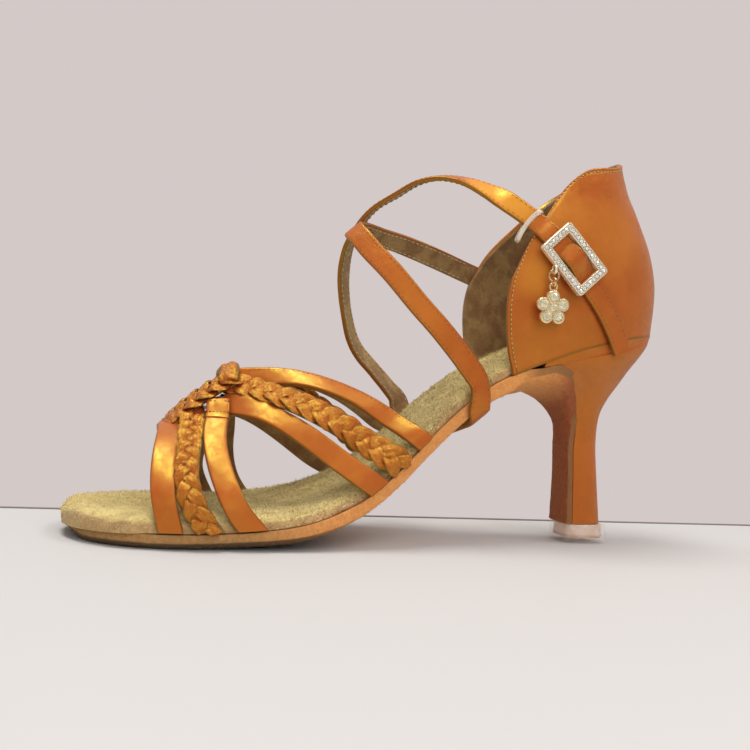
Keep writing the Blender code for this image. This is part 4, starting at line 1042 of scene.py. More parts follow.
def insole_finish():
    """Pale green-gold nap, painted lighter and greener on top and darker and browner at the sides by the
    way the surface faces: painted light and shade.
    """
    n = Nodes("insole_nap_suede")
    place_at = n.place()
    up = n.facing()
    patch = n.noise(place_at, 120.0, 5.0, 0.65, 0.8)
    top = n.mix(n.ramp(patch, 0.36, 0.64), (0.51, 0.385, 0.145), (0.72, 0.57, 0.225))
    side = n.mix(n.ramp(patch, 0.36, 0.64), (0.43, 0.265, 0.115), (0.58, 0.385, 0.17))
    # Top and side colours chosen by facing: painted light on top, painted shade on the sides
    colour = n.mix(n.ramp(up, 0.35, 0.8), side, top)
    rear = n.ramp(n.split(place_at)[0], 0.0, 0.05, 0.45, 1.0)
    fine = n.noise(place_at, 900.0, 4.0, 0.75, 0.6)
    colour = n.mix(n.math("MULTIPLY", n.ramp(fine, 0.52, 0.66), rear), colour, (0.15, 0.095, 0.038))
    pale = n.noise(n.stretch(place_at, (1.0, 1.7, 1.0)), 1100.0, 3.0, 0.7, 0.5)
    colour = n.mix(n.math("MULTIPLY", n.ramp(pale, 0.56, 0.7), rear), colour, (0.86, 0.74, 0.4))
    nap = n.noise(place_at, 620.0, 6.0, 0.78, 1.0)
    n.set(Base_Color=colour, Roughness=0.95, Normal=n.bump(nap, 0.9, 0.0008))
    n.set(Sheen_Weight=0.45, Sheen_Roughness=0.4, Sheen_Tint=(0.95, 0.88, 0.55, 1.0),
          Specular_IOR_Level=0.12)
    return n.material


def hair_finish(name, low, high):
    n = Nodes(name)
    tone = n.noise(n.place(), 2000.0, 1.0)
    n.set(Base_Color=n.mix(n.ramp(tone, 0.35, 0.65), low, high), Roughness=0.8)
    return n.material


INSOLE_HAIR = hair_finish("insole_hair", (0.5, 0.39, 0.16), (0.78, 0.66, 0.32))
DARK_HAIR = hair_finish("dark_hair", (0.26, 0.17, 0.07), (0.44, 0.31, 0.13))
SOLE_HAIR = hair_finish("sole_hair", (0.3, 0.16, 0.06), (0.46, 0.28, 0.11))


def make_fuzz(name, grid, normals, count, finish, slot, low=0.0004, high=0.0011, thick=0.00008, seed=11):
    """Short bent fibres that stand on a grid of points."""
    cells = np.array([(i, j) for i in range(grid.shape[0] - 1) for j in range(grid.shape[1] - 1)])
    weight = norm(grid[1:, 1:] - grid[:-1, :-1], axis=2).ravel() ** 2
    rng = np.random.default_rng(seed)
    chosen = cells[rng.choice(len(cells), count, p=weight / weight.sum())]
    verts = []
    faces = []
    for i, j in chosen:
        u, v = rng.random(2)
        base = grid[i, j] * (1 - u) + grid[i + 1, j + 1] * u + (grid[i, j + 1] - grid[i, j]) * (v - u)
        way = normals[i, j] + rng.normal(0, 0.75, 3)
        way /= norm(way)
        if way @ normals[i, j] < 0.15:
            way = normals[i, j] + way * 0.5
        tall = low + (high - low) * rng.random() ** 2
        side = np.cross(way, rng.normal(0, 1, 3))
        side *= thick / max(norm(side), 1e-9)
        bent = rng.normal(0, 0.35, 3) * tall
        middle = base + way * tall * 0.55 + bent * 0.3
        tip = base + way * tall + bent
        root = base - way * 0.0001
        if min(root[2], middle[2], tip[2]) < 0.0003:
            continue
        k = len(verts)
        verts += [root - side, root + side, middle + side * 0.8, middle - side * 0.8, tip]
        faces += [(k, k + 1, k + 2, k + 3), (k + 3, k + 2, k + 4)]
    return add_piece(name, verts, faces, [finish], slot)


def heel_ring(row, seat=False):
    """Ring of the heel: its front behind the sole's flap, then round the back."""
    count = 64
    fronts = list(np.linspace(-1, 1, 21))
    ring = []
    if seat:
        along = BREAST[1].edge_x + 0.004
        for side in fronts:
            ring.append(place(along, half_width(along) * 0.985 * side, feather(along)))
        for share in spaced(0.0, 1.0, count)[1:-1]:
            turn = pi * share
            a = along + (0.997 - along) * sin(turn) ** 0.7
            half = half_width(a) * 0.992
            across = half * (1 if share <= 0.5 else -1)
            ring.append(place(a, across, feather(a)))
        return ring
    ring = [breast_point(row, side, 1.0, GAP) for side in fronts]
    corner = ring[-1]
    floor = CUP_HEIGHT + GAP
    back = place(row.back_x, 0, floor + row.back_z * (HEEL_HEIGHT - floor))
    for share in spaced(0.0, 1.0, count)[1:-1]:
        turn = pi * share
        point = corner.lerp(back, sin(turn) ** 0.9)
        point.y = corner.y * copysign(abs(cos(turn)) ** 0.85, 0.5 - share)
        ring.append(point)
    return ring


def make_heel():
    rings = [heel_ring(None, True)]
    first = heel_ring(breast_row(1.0))
    for k in range(1, 5):
        rings.append([a.lerp(b, k / 5) for a, b in zip(rings[0], first)])
    for at in np.linspace(1, 10, 100):
        rings.append(heel_ring(breast_row(at)))
    tags = np.zeros((len(rings), len(first), 3))
    tags[..., 2] = 0.01
    add_loft("heel_cover", rings, HEEL, "heel_leather", tags, nodes=["heel"], angle=50)


def tip_ring(height, inset, count=64):
    centre = (CUP_FRONT + CUP_BACK) / 2 - ORIGIN_FROM_TOE
    reach = (CUP_BACK - CUP_FRONT) / 2 - inset
    half = CUP_HALF - inset
    taper = 1 - 0.05 * height / CUP_HEIGHT
    ring = []
    for i in range(count):
        turn = 2 * pi * (i + 0.5) / count
        x = copysign(abs(cos(turn)) ** 0.55, cos(turn)) * reach * taper
        y = copysign(abs(sin(turn)) ** 0.55, sin(turn)) * half * taper
        ring.append(Vector((centre + x, y, height)))
    return ring


def plastic(name, colour, rough, ior=1.45, through=1.0):
    n = Nodes(name)
    haze = n.noise(n.place(), 500.0, 4.0, 0.6)
    n.set(Base_Color=n.mix(n.ramp(haze, 0.35, 0.7), colour, tuple(c * 0.9 for c in colour)),
          Roughness=n.ramp(haze, 0.3, 0.7, rough, rough + 0.15), Normal=n.bump(haze, 0.15, 0.0002))
    n.set(Transmission_Weight=through, IOR=ior)
    return n.material


def make_tip():
    rubber = Nodes("tip_rubber")
    grain = rubber.noise(rubber.place(), 700.0, 4.0)
    rise = rubber.split(rubber.place())[2]
    tint = rubber.mix(rubber.ramp(rise, 0.0026, 0.0036), (0.66, 0.36, 0.15), (0.95, 0.75, 0.56))
    rubber.set(Base_Color=rubber.mix(rubber.math("MULTIPLY", grain, 0.25), tint, (0.55, 0.36, 0.22)),
               Roughness=0.22, Transmission_Weight=0.45, IOR=1.25, Normal=rubber.bump(grain, 0.3, 0.0002))
    inset = CUP_WALL + GAP
    low = CUP_FLOOR + GAP
    profile = [(low, inset + 0.0006), (low + 0.0002, inset + 0.0002), (low + 0.0006, inset)]
    profile += [(z, inset) for z in np.linspace(low + 0.001, CUP_HEIGHT, 6)]
    add_loft("heel_tip_block", [tip_ring(*at) for at in profile], rubber.material, "tip_rubber",
             nodes=["heel_tip"], angle=60)


def make_cup():
    """Clear cap of the heel, up its outside, over the rim and down inside to its floor."""
    clear = Nodes("clear_cup")
    haze = clear.noise(clear.place(), 420.0, 3.0)
    clear.set(Base_Color=clear.mix(haze, (0.92, 0.74, 0.68), (1.0, 0.93, 0.9)), Roughness=0.08,
              Alpha=clear.ramp(haze, 0.35, 0.7, 0.1, 0.24), Coat_Weight=1.0, Coat_Roughness=0.03)
    profile = [(0.0, 0.0009), (0.00012, 0.0004), (0.0004, 0.0001), (0.0008, 0.0)]
    profile += [(z, 0.0) for z in np.linspace(0.0015, CUP_HEIGHT - 0.0003, 7)]
    profile += [(CUP_HEIGHT - 0.0001, 0.0001), (CUP_HEIGHT, 0.0004), (CUP_HEIGHT, CUP_WALL - 0.0004),
                (CUP_HEIGHT - 0.0002, CUP_WALL)]
    profile += [(z, CUP_WALL) for z in np.linspace(CUP_HEIGHT - 0.001, CUP_FLOOR + 0.0004, 4)]
    profile += [(CUP_FLOOR + 0.0001, CUP_WALL + 0.0002), (CUP_FLOOR, CUP_WALL + 0.0008)]
    add_loft("clear_cup", [tip_ring(*at) for at in profile], clear.material, "clear_plastic",
             nodes=["heel_protector"], angle=60)


def counter_grid():
    """Outer face of the heel cup: rows upwards, columns from the outer front edge round to the inner."""
    from_edge = [0.055, 0.045, 0.036, 0.029, 0.023, 0.018, 0.013, 0.009, 0.006, 0.0035, 0.0015, 0.0004, 0.0]
    levels = np.concatenate([np.linspace(0, 0.93, 58), 1 - np.array(from_edge)])
    from_front = [0.0, 0.0004, 0.0015, 0.0035, 0.006, 0.009, 0.013, 0.018, 0.024, 0.031, 0.039, 0.048]
    half = np.concatenate([from_front, np.linspace(0.06, 1.0, 46)])
    shares = [(-1, 1 - h) for h in half] + [(1, 1 - h) for h in half[::-1][1:]]
    outer = np.zeros((len(levels), len(shares), 3))
    for i, level in enumerate(levels):
        for j, (side, share) in enumerate(shares):
            reach = 1 - cos(share * pi / 2)
            outer[i, j] = counter_point(float(level), reach, side)
    outer[0, :, 2] -= COUNTER_TUCK
    outer[1, :, 2] -= COUNTER_TUCK / 2
    return outer


def wall_faces(rows, cols):
    """Faces of a wall with two sides and a rim, and their kinds: 0 outside and on the rim, 1 inside."""
    shift = rows * cols
    faces = []
    for i in range(rows - 1):
        for j in range(cols - 1):
            a = i * cols + j
            quad = (a, a + 1, a + cols + 1, a + cols)
            faces += [quad, tuple(shift + q for q in reversed(quad))]
    rim = [i * cols for i in range(rows)] + [(rows - 1) * cols + j for j in range(1, cols)]
    rim += [i * cols + cols - 1 for i in range(rows - 2, -1, -1)] + list(range(cols - 2, 0, -1))
    kinds = [0, 1] * (len(faces) // 2) + [0] * len(rim)
    faces += [(b, a, a + shift, b + shift) for a, b in zip(rim, rim[1:] + rim[:1])]
    return faces, kinds


def make_counter():
    """Heel cup as one closed wall with round folded edges, leather outside, suede inside."""
    outer = counter_grid()
    up = np.gradient(outer, axis=0)
    around = np.gradient(outer, axis=1)
    normal = np.cross(around, up)
    normal /= np.maximum(norm(normal, axis=2), 1e-12)[..., None]
    if normal[30, outer.shape[1] // 2, 0] < 0:
        normal = -normal
    rise = norm(np.diff(outer, axis=0), axis=2)
    below = np.concatenate([np.zeros((1, rise.shape[1])), np.cumsum(rise, axis=0)])
    from_top = below[-1:] - below
    run = norm(np.diff(outer, axis=1), axis=2)
    before = np.concatenate([np.zeros((run.shape[0], 1)), np.cumsum(run, axis=1)], axis=1)
    from_front = np.minimum(before, before[:, -1:] - before)
    near = np.minimum(from_top, from_front)
    w = COUNTER_WALL / 2
    rounding = np.clip(near / w, 0, 1)
    thick = w * np.sqrt(np.clip(1 - (1 - rounding) ** 2, 0, 1))
    roll = 0.00032 * np.exp(-((near - 0.0007) / 0.0006) ** 2)
    groove = 0.00022 * np.exp(-((near - FOLD_SEAM) / 0.00028) ** 2)
    wander = np.array([[noise.noise(Vector(p) * 55) for p in row] for row in outer]) * 0.00025
    fade = np.clip((near - 0.002) / 0.004, 0, 1)
    middle = outer - normal * w
    face = middle + normal * (thick + roll * (rounding > 0.3) - groove + wander * fade)[..., None]
    back = middle - normal * thick[..., None]
    verts = np.concatenate([face.reshape(-1, 3), back.reshape(-1, 3)])
    tags = np.stack([before, below, near], -1).reshape(-1, 3)
    tags = np.concatenate([tags, tags])
    faces, kinds = wall_faces(*near.shape)
    add_piece("counter_cup", verts, faces, [counter_finish(), LINING], "counter_leather",
              nodes=["counter"], tags=tags, kinds=kinds, angle=60)
    counter_stitches(face, normal, near)


def counter_finish():
    """Counter leather with painted shade darkening the stitch groove along its folded edge and a band along
    its bottom edge where it meets the heel, golden patches painted in as highlights, and one small ring
    mark.
    """
    # Golden patches on the counter's outer face: painted highlights
    gleams = [(counter_side(*at, -1)[0], reach, strength) for at, reach, strength in COUNTER_PAINTED_HIGHLIGHTS]
    n = satin_nodes("counter_fold_satin", crease=0.0, grain=1.3, rough=0.35, shine=0.85, gleams=gleams)
    _, parts = n.strip()
    colour = n.shader.inputs["Base Color"].links[0].from_socket
    # Stitch groove darkened: painted shade in the groove and needle holes
    near = n.math("ABSOLUTE", n.math("SUBTRACT", parts[2], FOLD_SEAM))
    groove = n.ramp(near, 0.00012, 0.00042, 0.65, 0.0)
    # Band along the bottom edge darkened: painted shade of the gap at the heel
    foot = n.ramp(parts[1], 0.0004, 0.0014, 0.8, 0.0)
    away = n.away_from(counter_side(*MARK_PLACE, -1)[0])
    ring = n.ramp(n.math("ABSOLUTE", n.math("SUBTRACT", away, 0.0013)), 0.0001, 0.0004, 0.3, 0.0)
    for share in (groove, foot, ring):
        colour = n.mix(share, colour, DARK_MARK_AND_SHADE)
    n.set(Base_Color=colour)
    return n.material


def seam_point(near, face, normal, cells):
    """Where a run of cells leading inwards passes the seam's distance from the edge."""
    for a, b in zip(cells, cells[1:]):
        if near[a] <= FOLD_SEAM <= near[b]:
            u = (FOLD_SEAM - near[a]) / max(near[b] - near[a], 1e-9)
            return np.concatenate([face[a] * (1 - u) + face[b] * u, normal[a]])
    return None


def counter_stitches(face, normal, near):
    """Thread along the top and the two front edges, a little inside the fold."""
    rows, cols = near.shape
    mid = cols // 2
    runs = [[(i, j) for j in range(mid)] for i in range(1, rows)]
    runs += [[(i, j) for i in range(rows - 1, -1, -1)] for j in range(1, cols - 1)]
    runs += [[(i, j) for j in range(cols - 1, mid, -1)] for i in range(rows - 1, 0, -1)]
    path = [seam_point(near, face, normal, cells) for cells in runs]
    path = [spot for spot in path if spot is not None]
    kept = path[:1]
    for spot in path[1:]:
        if 0.0002 < norm(spot[:3] - kept[-1][:3]) < 0.006:
            kept.append(spot)
    kept = np.array(kept)
    steps = norm(np.diff(kept[:, :3], axis=0), axis=1)
    lengths = np.concatenate([[0], np.cumsum(steps)])

    def read(s):
        return np.array([np.interp(s, lengths, kept[:, k]) for k in range(6)])

    pile = Pile()
    pitch = 0.00165
    for s in np.arange(pitch, lengths[-1] - pitch, pitch):
        here = read(s)
        ahead = read(s + 0.0004)[:3] - here[:3]
        ahead /= max(norm(ahead), 1e-9)
        facing = here[3:] - ahead * (here[3:] @ ahead)
        add_stitch(pile, here[:3], ahead, facing / norm(facing), 0.00115, 0.0002, 0.15)
    pile.make("counter_stitches", [GOLD_THREAD], "counter_leather")


def vamp_route(strap, side=None):
    """Route of a vamp strap: over the foot, or from one side's foot to the ridge."""
    if side is None:
        outer, outer_way = strap_points(strap, -1)
        inner, inner_way = strap_points(strap, 1)
        points = outer + inner[-2::-1]
        ways = (outer_way, inner_way)
    else:
        points, way = strap_points(strap, side)
        ways = (way, None)
    even, _ = curve_with_places(points, 0.0005)
    cleared = eased(clear_of_insole(even))
    facings = [beside_sole(p) for p in cleared]
    if side is not None:
        lean, reach = SIDE_LEAN[strap.name]
        for k, p in enumerate(cleared):
            near = max(0.0, 1 - (p - cleared[-1]).length / reach)
            facings[k] = facings[k].lerp(Vector((0, side, 0)), lean * near * near * (3 - 2 * near))
    return Route(cleared, eased(facings, 60), *ways)


def make_vamp():
    for strap in CROSSING:
        route = vamp_route(strap)
        if strap.kind == "plain":
            plain_strap(strap.name, route, PLAIN_STRAP)
        else:
            make_braid(strap.name, route, 0.002, 0.0041)
        if strap.name == "ball_strap":
            ball_folds(route)
    for strap in SIDE_STRAPS:
        for side, word in ((-1, "outer"), (1, "inner")):
            route = vamp_route(strap, side)
            name = strap.name.replace("_", "_%s_" % word, 1)
            if strap.kind == "braid":
                make_braid(name, route, 0.0025, 0.005)
                continue
            width = PLAIN_STRAP if strap.kind == "plain" else SLIM_STRAP
            plain_strap(name, route, width)
            if strap.kind == "slim":
                threads = Pile()
                across = -side * (width / 2 - 0.0011)
                row = (0.006, route.length - 0.006, 0.0016, across, STRAP_THICKNESS / 2)
                stitch_pile(threads, route, [row], 0.0011, 0.00014)
                threads.make(name + "_stitches", [DARK_THREAD], "strap_leather")
    make_spine()


def plain_strap(name, route, width):
    section = band_section(width, STRAP_THICKNESS, 0.00045, 0.00018)
    make_strip(name, route, section, [LEATHER, LINING], "strap_leather", wave=0.00006, angle=60,
               nodes=["vamp_straps"])


def make_braid(name, route, swing_out, strand):
    """Plait on its lining strip."""
    pile = Pile()
    plait(pile, route, swing_out, strand, 0.0009, 0.0008, 0.0175, 0.00085, -1, len(name))
    pile.make(name, [PLAIT], "strap_leather", nodes=["vamp_straps"], angle=70)
    section = band_section(BRAID_WIDTH * 0.9, 0.0006, 0.00025)
    make_strip(name + "_backing", route, section, [LINING, LINING], "strap_leather", lift=-0.0007)


def ball_folds(route):
    """The strap's upper ends, folded back over the spine's edge and sewn across twice."""
    middle = route.length / 2
    for sign, word in ((-1, "outer"), (1, "inner")):
        section = band_section(PLAIN_STRAP + 0.0003, 0.0013, 0.0005, 0.0003)
        near = 0.008
        far = 0.0152
        start, end = sorted((middle + sign * near, middle + sign * far))

        def lift(s):
            from_top = abs(s - middle) - near
            share = max(0.0, min(1.0, 1 - from_top / (far - near)))
            return 0.0005 + 0.0021 * share * share * (3 - 2 * share)

        make_strip("ball_fold_" + word, route, section, [LEATHER, LEATHER], "strap_leather", start, end,
                   0.0005, 0.00025, lift, angle=60)
        threads = Pile()
        for at in (0.0013, 0.0052):
            s = middle + sign * (near + at)
            for a in np.arange(-0.0036, 0.0037, 0.0012):
                point, ahead, facing = route.frame(s, a, lift(s) + 0.00085)
                across = np.cross(ahead, facing)
                add_stitch(threads, point, across, facing, 0.0009, 0.00016)
        threads.make("ball_fold_stitches_" + word, [DARK_THREAD], "strap_leather")


def make_spine():
    """Two plaits side by side along the ridge, a wrap at their front end and the knot behind."""
    points = [place(along, 0, height * VAMP_HEIGHT) for along, _, height in SPINE]
    even, _ = curve_with_places(points, 0.0005)
    route = Route(even, [vamp_outward(Vector(p)) for p in even], radius=SPINE_BEND)
    pile = Pile()
    for sign in (-1, 1):
        def aside(s):
            return sign * SPINE_ROW * np.clip(0.45 + s / 0.012, 0, 1)
        plait(pile, route, 0.0026, 0.0043, 0.0012, 0.001, 0.015, 0.001, sign, 3 + sign, aside)
    pile.make("spine_plait", [PLAIT], "strap_leather", nodes=["vamp_straps"], angle=70)
    section = band_section(2 * SPINE_ROW + 0.0066, 0.0012, 0.0004, 0.0, 13, 17)
    make_strip("spine_backing", route, section, [LEATHER, LINING], "strap_leather", 0.0025,
               route.length - 0.0005, lift=-0.0004)
    wraps = Pile()
    for at, reach in ((0.0006, 0.006), (0.005, 0.008)):
        across = np.linspace(-reach, reach, 40)
        over = route.at(np.full(40, at), across, np.full(40, 0.001))
        facing = route.at(np.full(40, at), across, np.full(40, 0.002)) - over
        wrap = Route(over, facing)
        section = band_section(0.0048, 0.0018, 0.0008, 0.0006, 7, 15)
        grid, tags, kinds = strap_grid(wrap, section, step=0.0004, wave=0.0008)
        wraps.add(grid, tags, False, kinds)
    wraps.make("spine_front_wraps", [PLAIT, PLAIT], "strap_leather", angle=70)
    outer, inner = [[place(a, side * c * BALL_WIDTH, h * VAMP_HEIGHT) for a, c, h in KNOT]
                    for side in (-1, 1)]
    even, _ = curve_with_places(outer + inner[-2::-1], 0.0004)
    route = Route(even, [vamp_outward(Vector(p)) for p in even])
    section = band_section(KNOT_WIDTH, 0.0024, 0.001, 0.0006, 7, 17)
    make_strip("ridge_knot", route, section, [PLAIT, PLAIT], "strap_leather", step=0.0004, wave=0.0012,
               nodes=["vamp_straps"], angle=70)


def buckle_frame_place():
    away = ANKLE_THICKNESS + 3 * GAP + BUCKLE_THICKNESS / 2
    centre, normal = counter_side(*BUCKLE_PLACE, -1, away)
    long_way = Vector((cos(BUCKLE_TURN), 0, sin(BUCKLE_TURN)))
    long_way = (long_way - normal * long_way.dot(normal)).normalized()
    return Matrix.Translation(centre) @ axes(long_way, normal.cross(long_way), normal)


def axes(x, y, z):
    return Matrix((x, y, z)).transposed().to_4x4()


def ankle_route():
    """Points of the ankle strap, each with the direction in which its outer face looks."""
    line = [place(along, 0, height * FULL_HEIGHT) for along, height in FOOT_LINE]
    outward = outward_from(line)
    away = 2 * GAP + ANKLE_THICKNESS / 2
    route = [counter_side(a, h, 1, away) for a, h in ANKLE_START]
    for a, c, h in ANKLE_FRONT:
        point = place(a, c * BALL_WIDTH, h * FULL_HEIGHT)
        route.append((point, outward(point)))
    for turn in turns(ARCH_POINTS):
        side = sin(turn)
        along = ANKLE_ARCH[0] + (ANKLE_ARCH[1] - ANKLE_ARCH[0]) * (side + 1) / 2
        if abs(side) > 0.999:
            across = swing(along) + side * (half_width(along) + away + GAP)
            route.append((place(along, across, feather(along) - SOLE_EDGE), edge_normal(along, side)))
            continue
        here = underside(along, side)
        ahead = underside(along + 0.01, side) - here
        beside = underside(along, sin(turn + 0.05)) - underside(along, sin(turn - 0.05))
        normal = ahead.cross(beside).normalized()
        if normal.z > 0:
            normal.negate()
        route.append((here + normal * (away + GAP), normal))
    for a, c, h in ANKLE_BACK:
        point = place(a, c * BALL_WIDTH, h * FULL_HEIGHT)
        route.append((point, outward(point)))
    route += [counter_side(a, h, -1, away) for a, h in ANKLE_END]
    at = buckle_frame_place()
    over = 2 * BAR_RADIUS - BUCKLE_THICKNESS / 2 + GAP + ANKLE_THICKNESS / 2
    route.append((at @ Vector((0, 0, over)), at.to_3x3() @ Vector((0, 0, 1))))
    route += [counter_side(a, h, -1, away) for a, h in ANKLE_TAIL]
    return route


def make_ankle():
    route = ankle_route()
    faces = [normal for _, normal in route]
    first = len(ANKLE_START) + len(ANKLE_FRONT) + ARCH_POINTS + TWIST_FROM
    for k, share in enumerate(ANKLE_TWIST):
        faces[first + k] = faces[first + k].lerp(Vector((0, 0, 1)), share).normalized()
    first -= TWIST_FROM
    for k, share in enumerate(ANKLE_LEAN):
        faces[first + k] = faces[first + k].lerp(Vector((-0.91, 0, -0.41)), share).normalized()
    even, spots = curve_with_places([point for point, _ in route], 0.0006)
    normals = []
    for spot in spots:
        k = min(int(spot), len(faces) - 2)
        normals.append(faces[k].lerp(faces[k + 1], spot - k))
    line = Route(even, normals)
    section = band_section(ANKLE_WIDTH, ANKLE_THICKNESS, 0.00045, 0.00015, 9, 11)
    before = len(ANKLE_START) + len(ANKLE_FRONT) + ARCH_POINTS + len(ANKLE_BACK)
    keeper_at = line.s[int(np.argmin(np.abs(spots - (before - 1 + KEEPER_PLACE))))]
    # Golden patches along the strap before the keeper: painted highlights
    gleams = [(line.at(keeper_at - back, 0, 0), 0.0075, 0.75) for back in (0.004, 0.01, 0.016, 0.022)]
    satin = leather("ankle_satin", crease=0.6, gleams=gleams)
    make_strip("ankle_strap_satin", line, section, [satin, LINING], "ankle_leather", step=0.0009,
               wave=0.00005, nodes=["ankle_strap"], angle=60)
    out = ANKLE_THICKNESS / 2
    inset = ANKLE_WIDTH / 2 - 0.001
    threads = Pile()
    rows = [(0.004, line.length - 0.004, 0.0019, across, out + 0.00004) for across in (inset, -inset)]
    stitch_pile(threads, line, rows, 0.0013, 0.00011, 0.4)
    threads.make("ankle_outer_stitches", [DARK_THREAD], "ankle_leather")
    threads = Pile()
    for across in (inset, -inset):
        for s in np.arange(0.022, line.length - 0.05, 0.0021):
            point, ahead, facing = line.frame(s, across, -out)
            add_stitch(threads, point, ahead, -facing, 0.0014, 0.00017, 0.1)
    threads.make("ankle_inner_stitches", [PALE_THREAD], "ankle_leather")
    return line, spots


def make_keeper(line, spots):
    """Thin clear band slung round the strap at the counter's front edge."""
    first = len(ANKLE_START) + len(ANKLE_FRONT) + ARCH_POINTS + len(ANKLE_BACK)
    best = int(np.argmin(np.abs(spots - (first - 1 + KEEPER_PLACE))))
    s = line.s[best]
    half = ANKLE_WIDTH / 2 + 0.0034
    hang = 0.003 if line.at(s, half, 0)[2] < line.at(s, -half, 0)[2] else -0.003
    deep = ANKLE_THICKNESS / 2 + 0.0007
    slant = -0.0004
    bow = 0.0012
    ring = []
    for i in range(96):
        t = 2 * pi * i / 96
        c = copysign(abs(cos(t)) ** 0.35, cos(t))
        d = copysign(abs(sin(t)) ** 0.55, sin(t))
        ring.append((s + slant * c + bow * c * c, half * c, deep * d))
    grid = []
    wide = 0.0009
    for s0, a0, b0 in ring:
        cross = []
        for w, h in ((-1, 0.3), (-0.92, 1), (-0.5, 1.15), (0, 1.2), (0.5, 1.15), (0.92, 1), (1, 0.3),
                     (0.92, -1), (0, -1), (-0.92, -1)):
            grow = 1 + 0.00022 * h / max(deep, 1e-6)
            cross.append(line.at(s0 + w * wide, a0 * (1 + 0.00022 * h / half) + hang, b0 * grow))
        grid.append(cross)
    finish = plastic("keeper_vinyl", (0.86, 0.76, 0.64), 0.3, 1.4, 0.55)
    pile = Pile()
    pile.add(np.array(grid), None, True)
    pile.make("keeper_band", [finish], "keeper_plastic", nodes=["keeper_loop"], angle=60)


def rounded(length, width, corner, height, count=64):
    ring = []
    for i in range(count):
        turn = 2 * pi * (i + 0.5) / count
        x = copysign(length / 2 - corner, cos(turn)) + corner * cos(turn)
        y = copysign(width / 2 - corner, sin(turn)) + corner * sin(turn)
        ring.append(Vector((x, y, height)))
    return ring


def add_stone(pile, at, radius, tall, sides=8):
    """Cut stone: girdle, crown and flat table, with its point sunk below."""
    rings = []
    for size, height, shift in ((0.35, -0.5, 0), (1.0, 0.0, 0), (0.98, 0.12, 0), (0.8, 0.55, 0.5),
                                (0.52, 1.0, 0), (0.05, 1.02, 0)):
        turned = [2 * pi * (i + shift) / sides for i in range(sides)]
        rings.append([at @ Vector((radius * size * cos(t), radius * size * sin(t), tall * height))
                      for t in turned])
    pile.add(loft_rings(rings))


def add_ball(pile, centre, radius, up, sides=8):
    up = Vector(up).normalized()
    side = up.orthogonal().normalized()
    other = up.cross(side)
    rounds = [side * cos(2 * pi * i / sides) + other * sin(2 * pi * i / sides)
              for i in range(sides)]
    rings = []
    for turn in (-80, -45, 0, 45, 80):
        c = radians(turn)
        rings.append([centre + up * radius * sin(c) + way * radius * cos(c) for way in rounds])
    pile.add(loft_rings(rings))


def add_torus(pile, radius, wire, at, around=40, tube=12):
    rings = []
    for i in range(around):
        turn = 2 * pi * i / around
        ring = []
        for j in range(tube):
            roll = 2 * pi * j / tube
            reach = radius + wire * cos(roll)
            ring.append(at @ Vector((reach * cos(turn), reach * sin(turn), wire * sin(roll))))
        rings.append(ring)
    pile.add(loft_rings(rings), None, True)


def make_buckle():
    at = buckle_frame_place()
    half = BUCKLE_THICKNESS / 2
    lip = [(0.0, half - 0.00025), (0.00008, half - 0.00008), (0.00022, half), (0.0004, half - 0.00004),
           (0.00052, half - 0.0003), (0.0006, half - 0.00042)]
    profile = [(0.0, -half)] + lip + [(BUCKLE_RIM - inset, height) for inset, height in reversed(lip)]
    rings = []
    for inset, height in profile + [(BUCKLE_RIM, -half)]:
        corner = max(BUCKLE_CORNER - inset * 0.45, 0.0003)
        ring = rounded(BUCKLE_LENGTH - 2 * inset, BUCKLE_WIDTH - 2 * inset, corner, height)
        rings.append([at @ p for p in ring])
    pile = Pile()
    pile.add(loft_rings(rings), None, True)
    add_torus(pile, LUG_RADIUS, LUG_WIRE, charm_places()["lug"])
    long_half = BUCKLE_LENGTH / 2 - BUCKLE_RIM / 2
    short_half = BUCKLE_WIDTH / 2 - BUCKLE_RIM / 2
    bar = []
    for y in np.linspace(-short_half, short_half, 12):
        bar.append([at @ Vector((BAR_RADIUS * cos(t), y, BAR_RADIUS - half + BAR_RADIUS * sin(t)))
                    for t in np.linspace(0, 2 * pi, 17)[:-1]])
    pile.add(loft_rings(bar))
    seat = half - 0.0003
    stones = Pile()
    random.seed(5)
    for x, y in stone_spots(long_half, short_half):
        tilt = [Matrix.Rotation(random.uniform(-0.16, 0.16), 4, axis) for axis in "XY"]
        turn = Matrix.Rotation(random.uniform(0, 0.8), 4, "Z")
        spot = at @ Matrix.Translation((x, y, seat))
        add_stone(stones, spot @ tilt[0] @ tilt[1] @ turn, 0.00078, 0.00052)
    up = at.to_3x3() @ Vector((0, 0, 1))
    for x, y in bead_spots(long_half, short_half):
        add_ball(pile, at @ Vector((x, y, seat + 0.0002)), 0.00026, up)
    pile.make("buckle_gold_frame", [BUCKLE_METAL], "buckle_metal", nodes=["buckle_frame"], angle=45)
    stones.make("buckle_stones", [STONE], "buckle_metal", angle=12)


def stone_spots(long_half, short_half):
    """Places of the stones round the rim, from each corner towards the next."""
    spots = []
    for k in range(LONG_STONES):
        x = (-1 + 2 * k / LONG_STONES) * long_half
        spots += [(x, short_half), (-x, -short_half)]
    for k in range(SHORT_STONES):
        y = (-1 + 2 * k / SHORT_STONES) * short_half
        spots += [(long_half, -y), (-long_half, y)]
    return spots


def bead_spots(long_half, short_half):
    """Places of the grains between the stones, in pairs across the rim."""
    off = 0.00072
    spots = []
    for k in range(LONG_STONES):
        x = -long_half + 2 * long_half * (k + 0.5) / LONG_STONES
        for y in (short_half, -short_half):
            spots += [(x, y - off), (x, y + off)]
    for k in range(SHORT_STONES):
        y = -short_half + 2 * short_half * (k + 0.5) / SHORT_STONES
        for x in (long_half, -long_half):
            spots += [(x - off, y), (x + off, y)]
    return spots


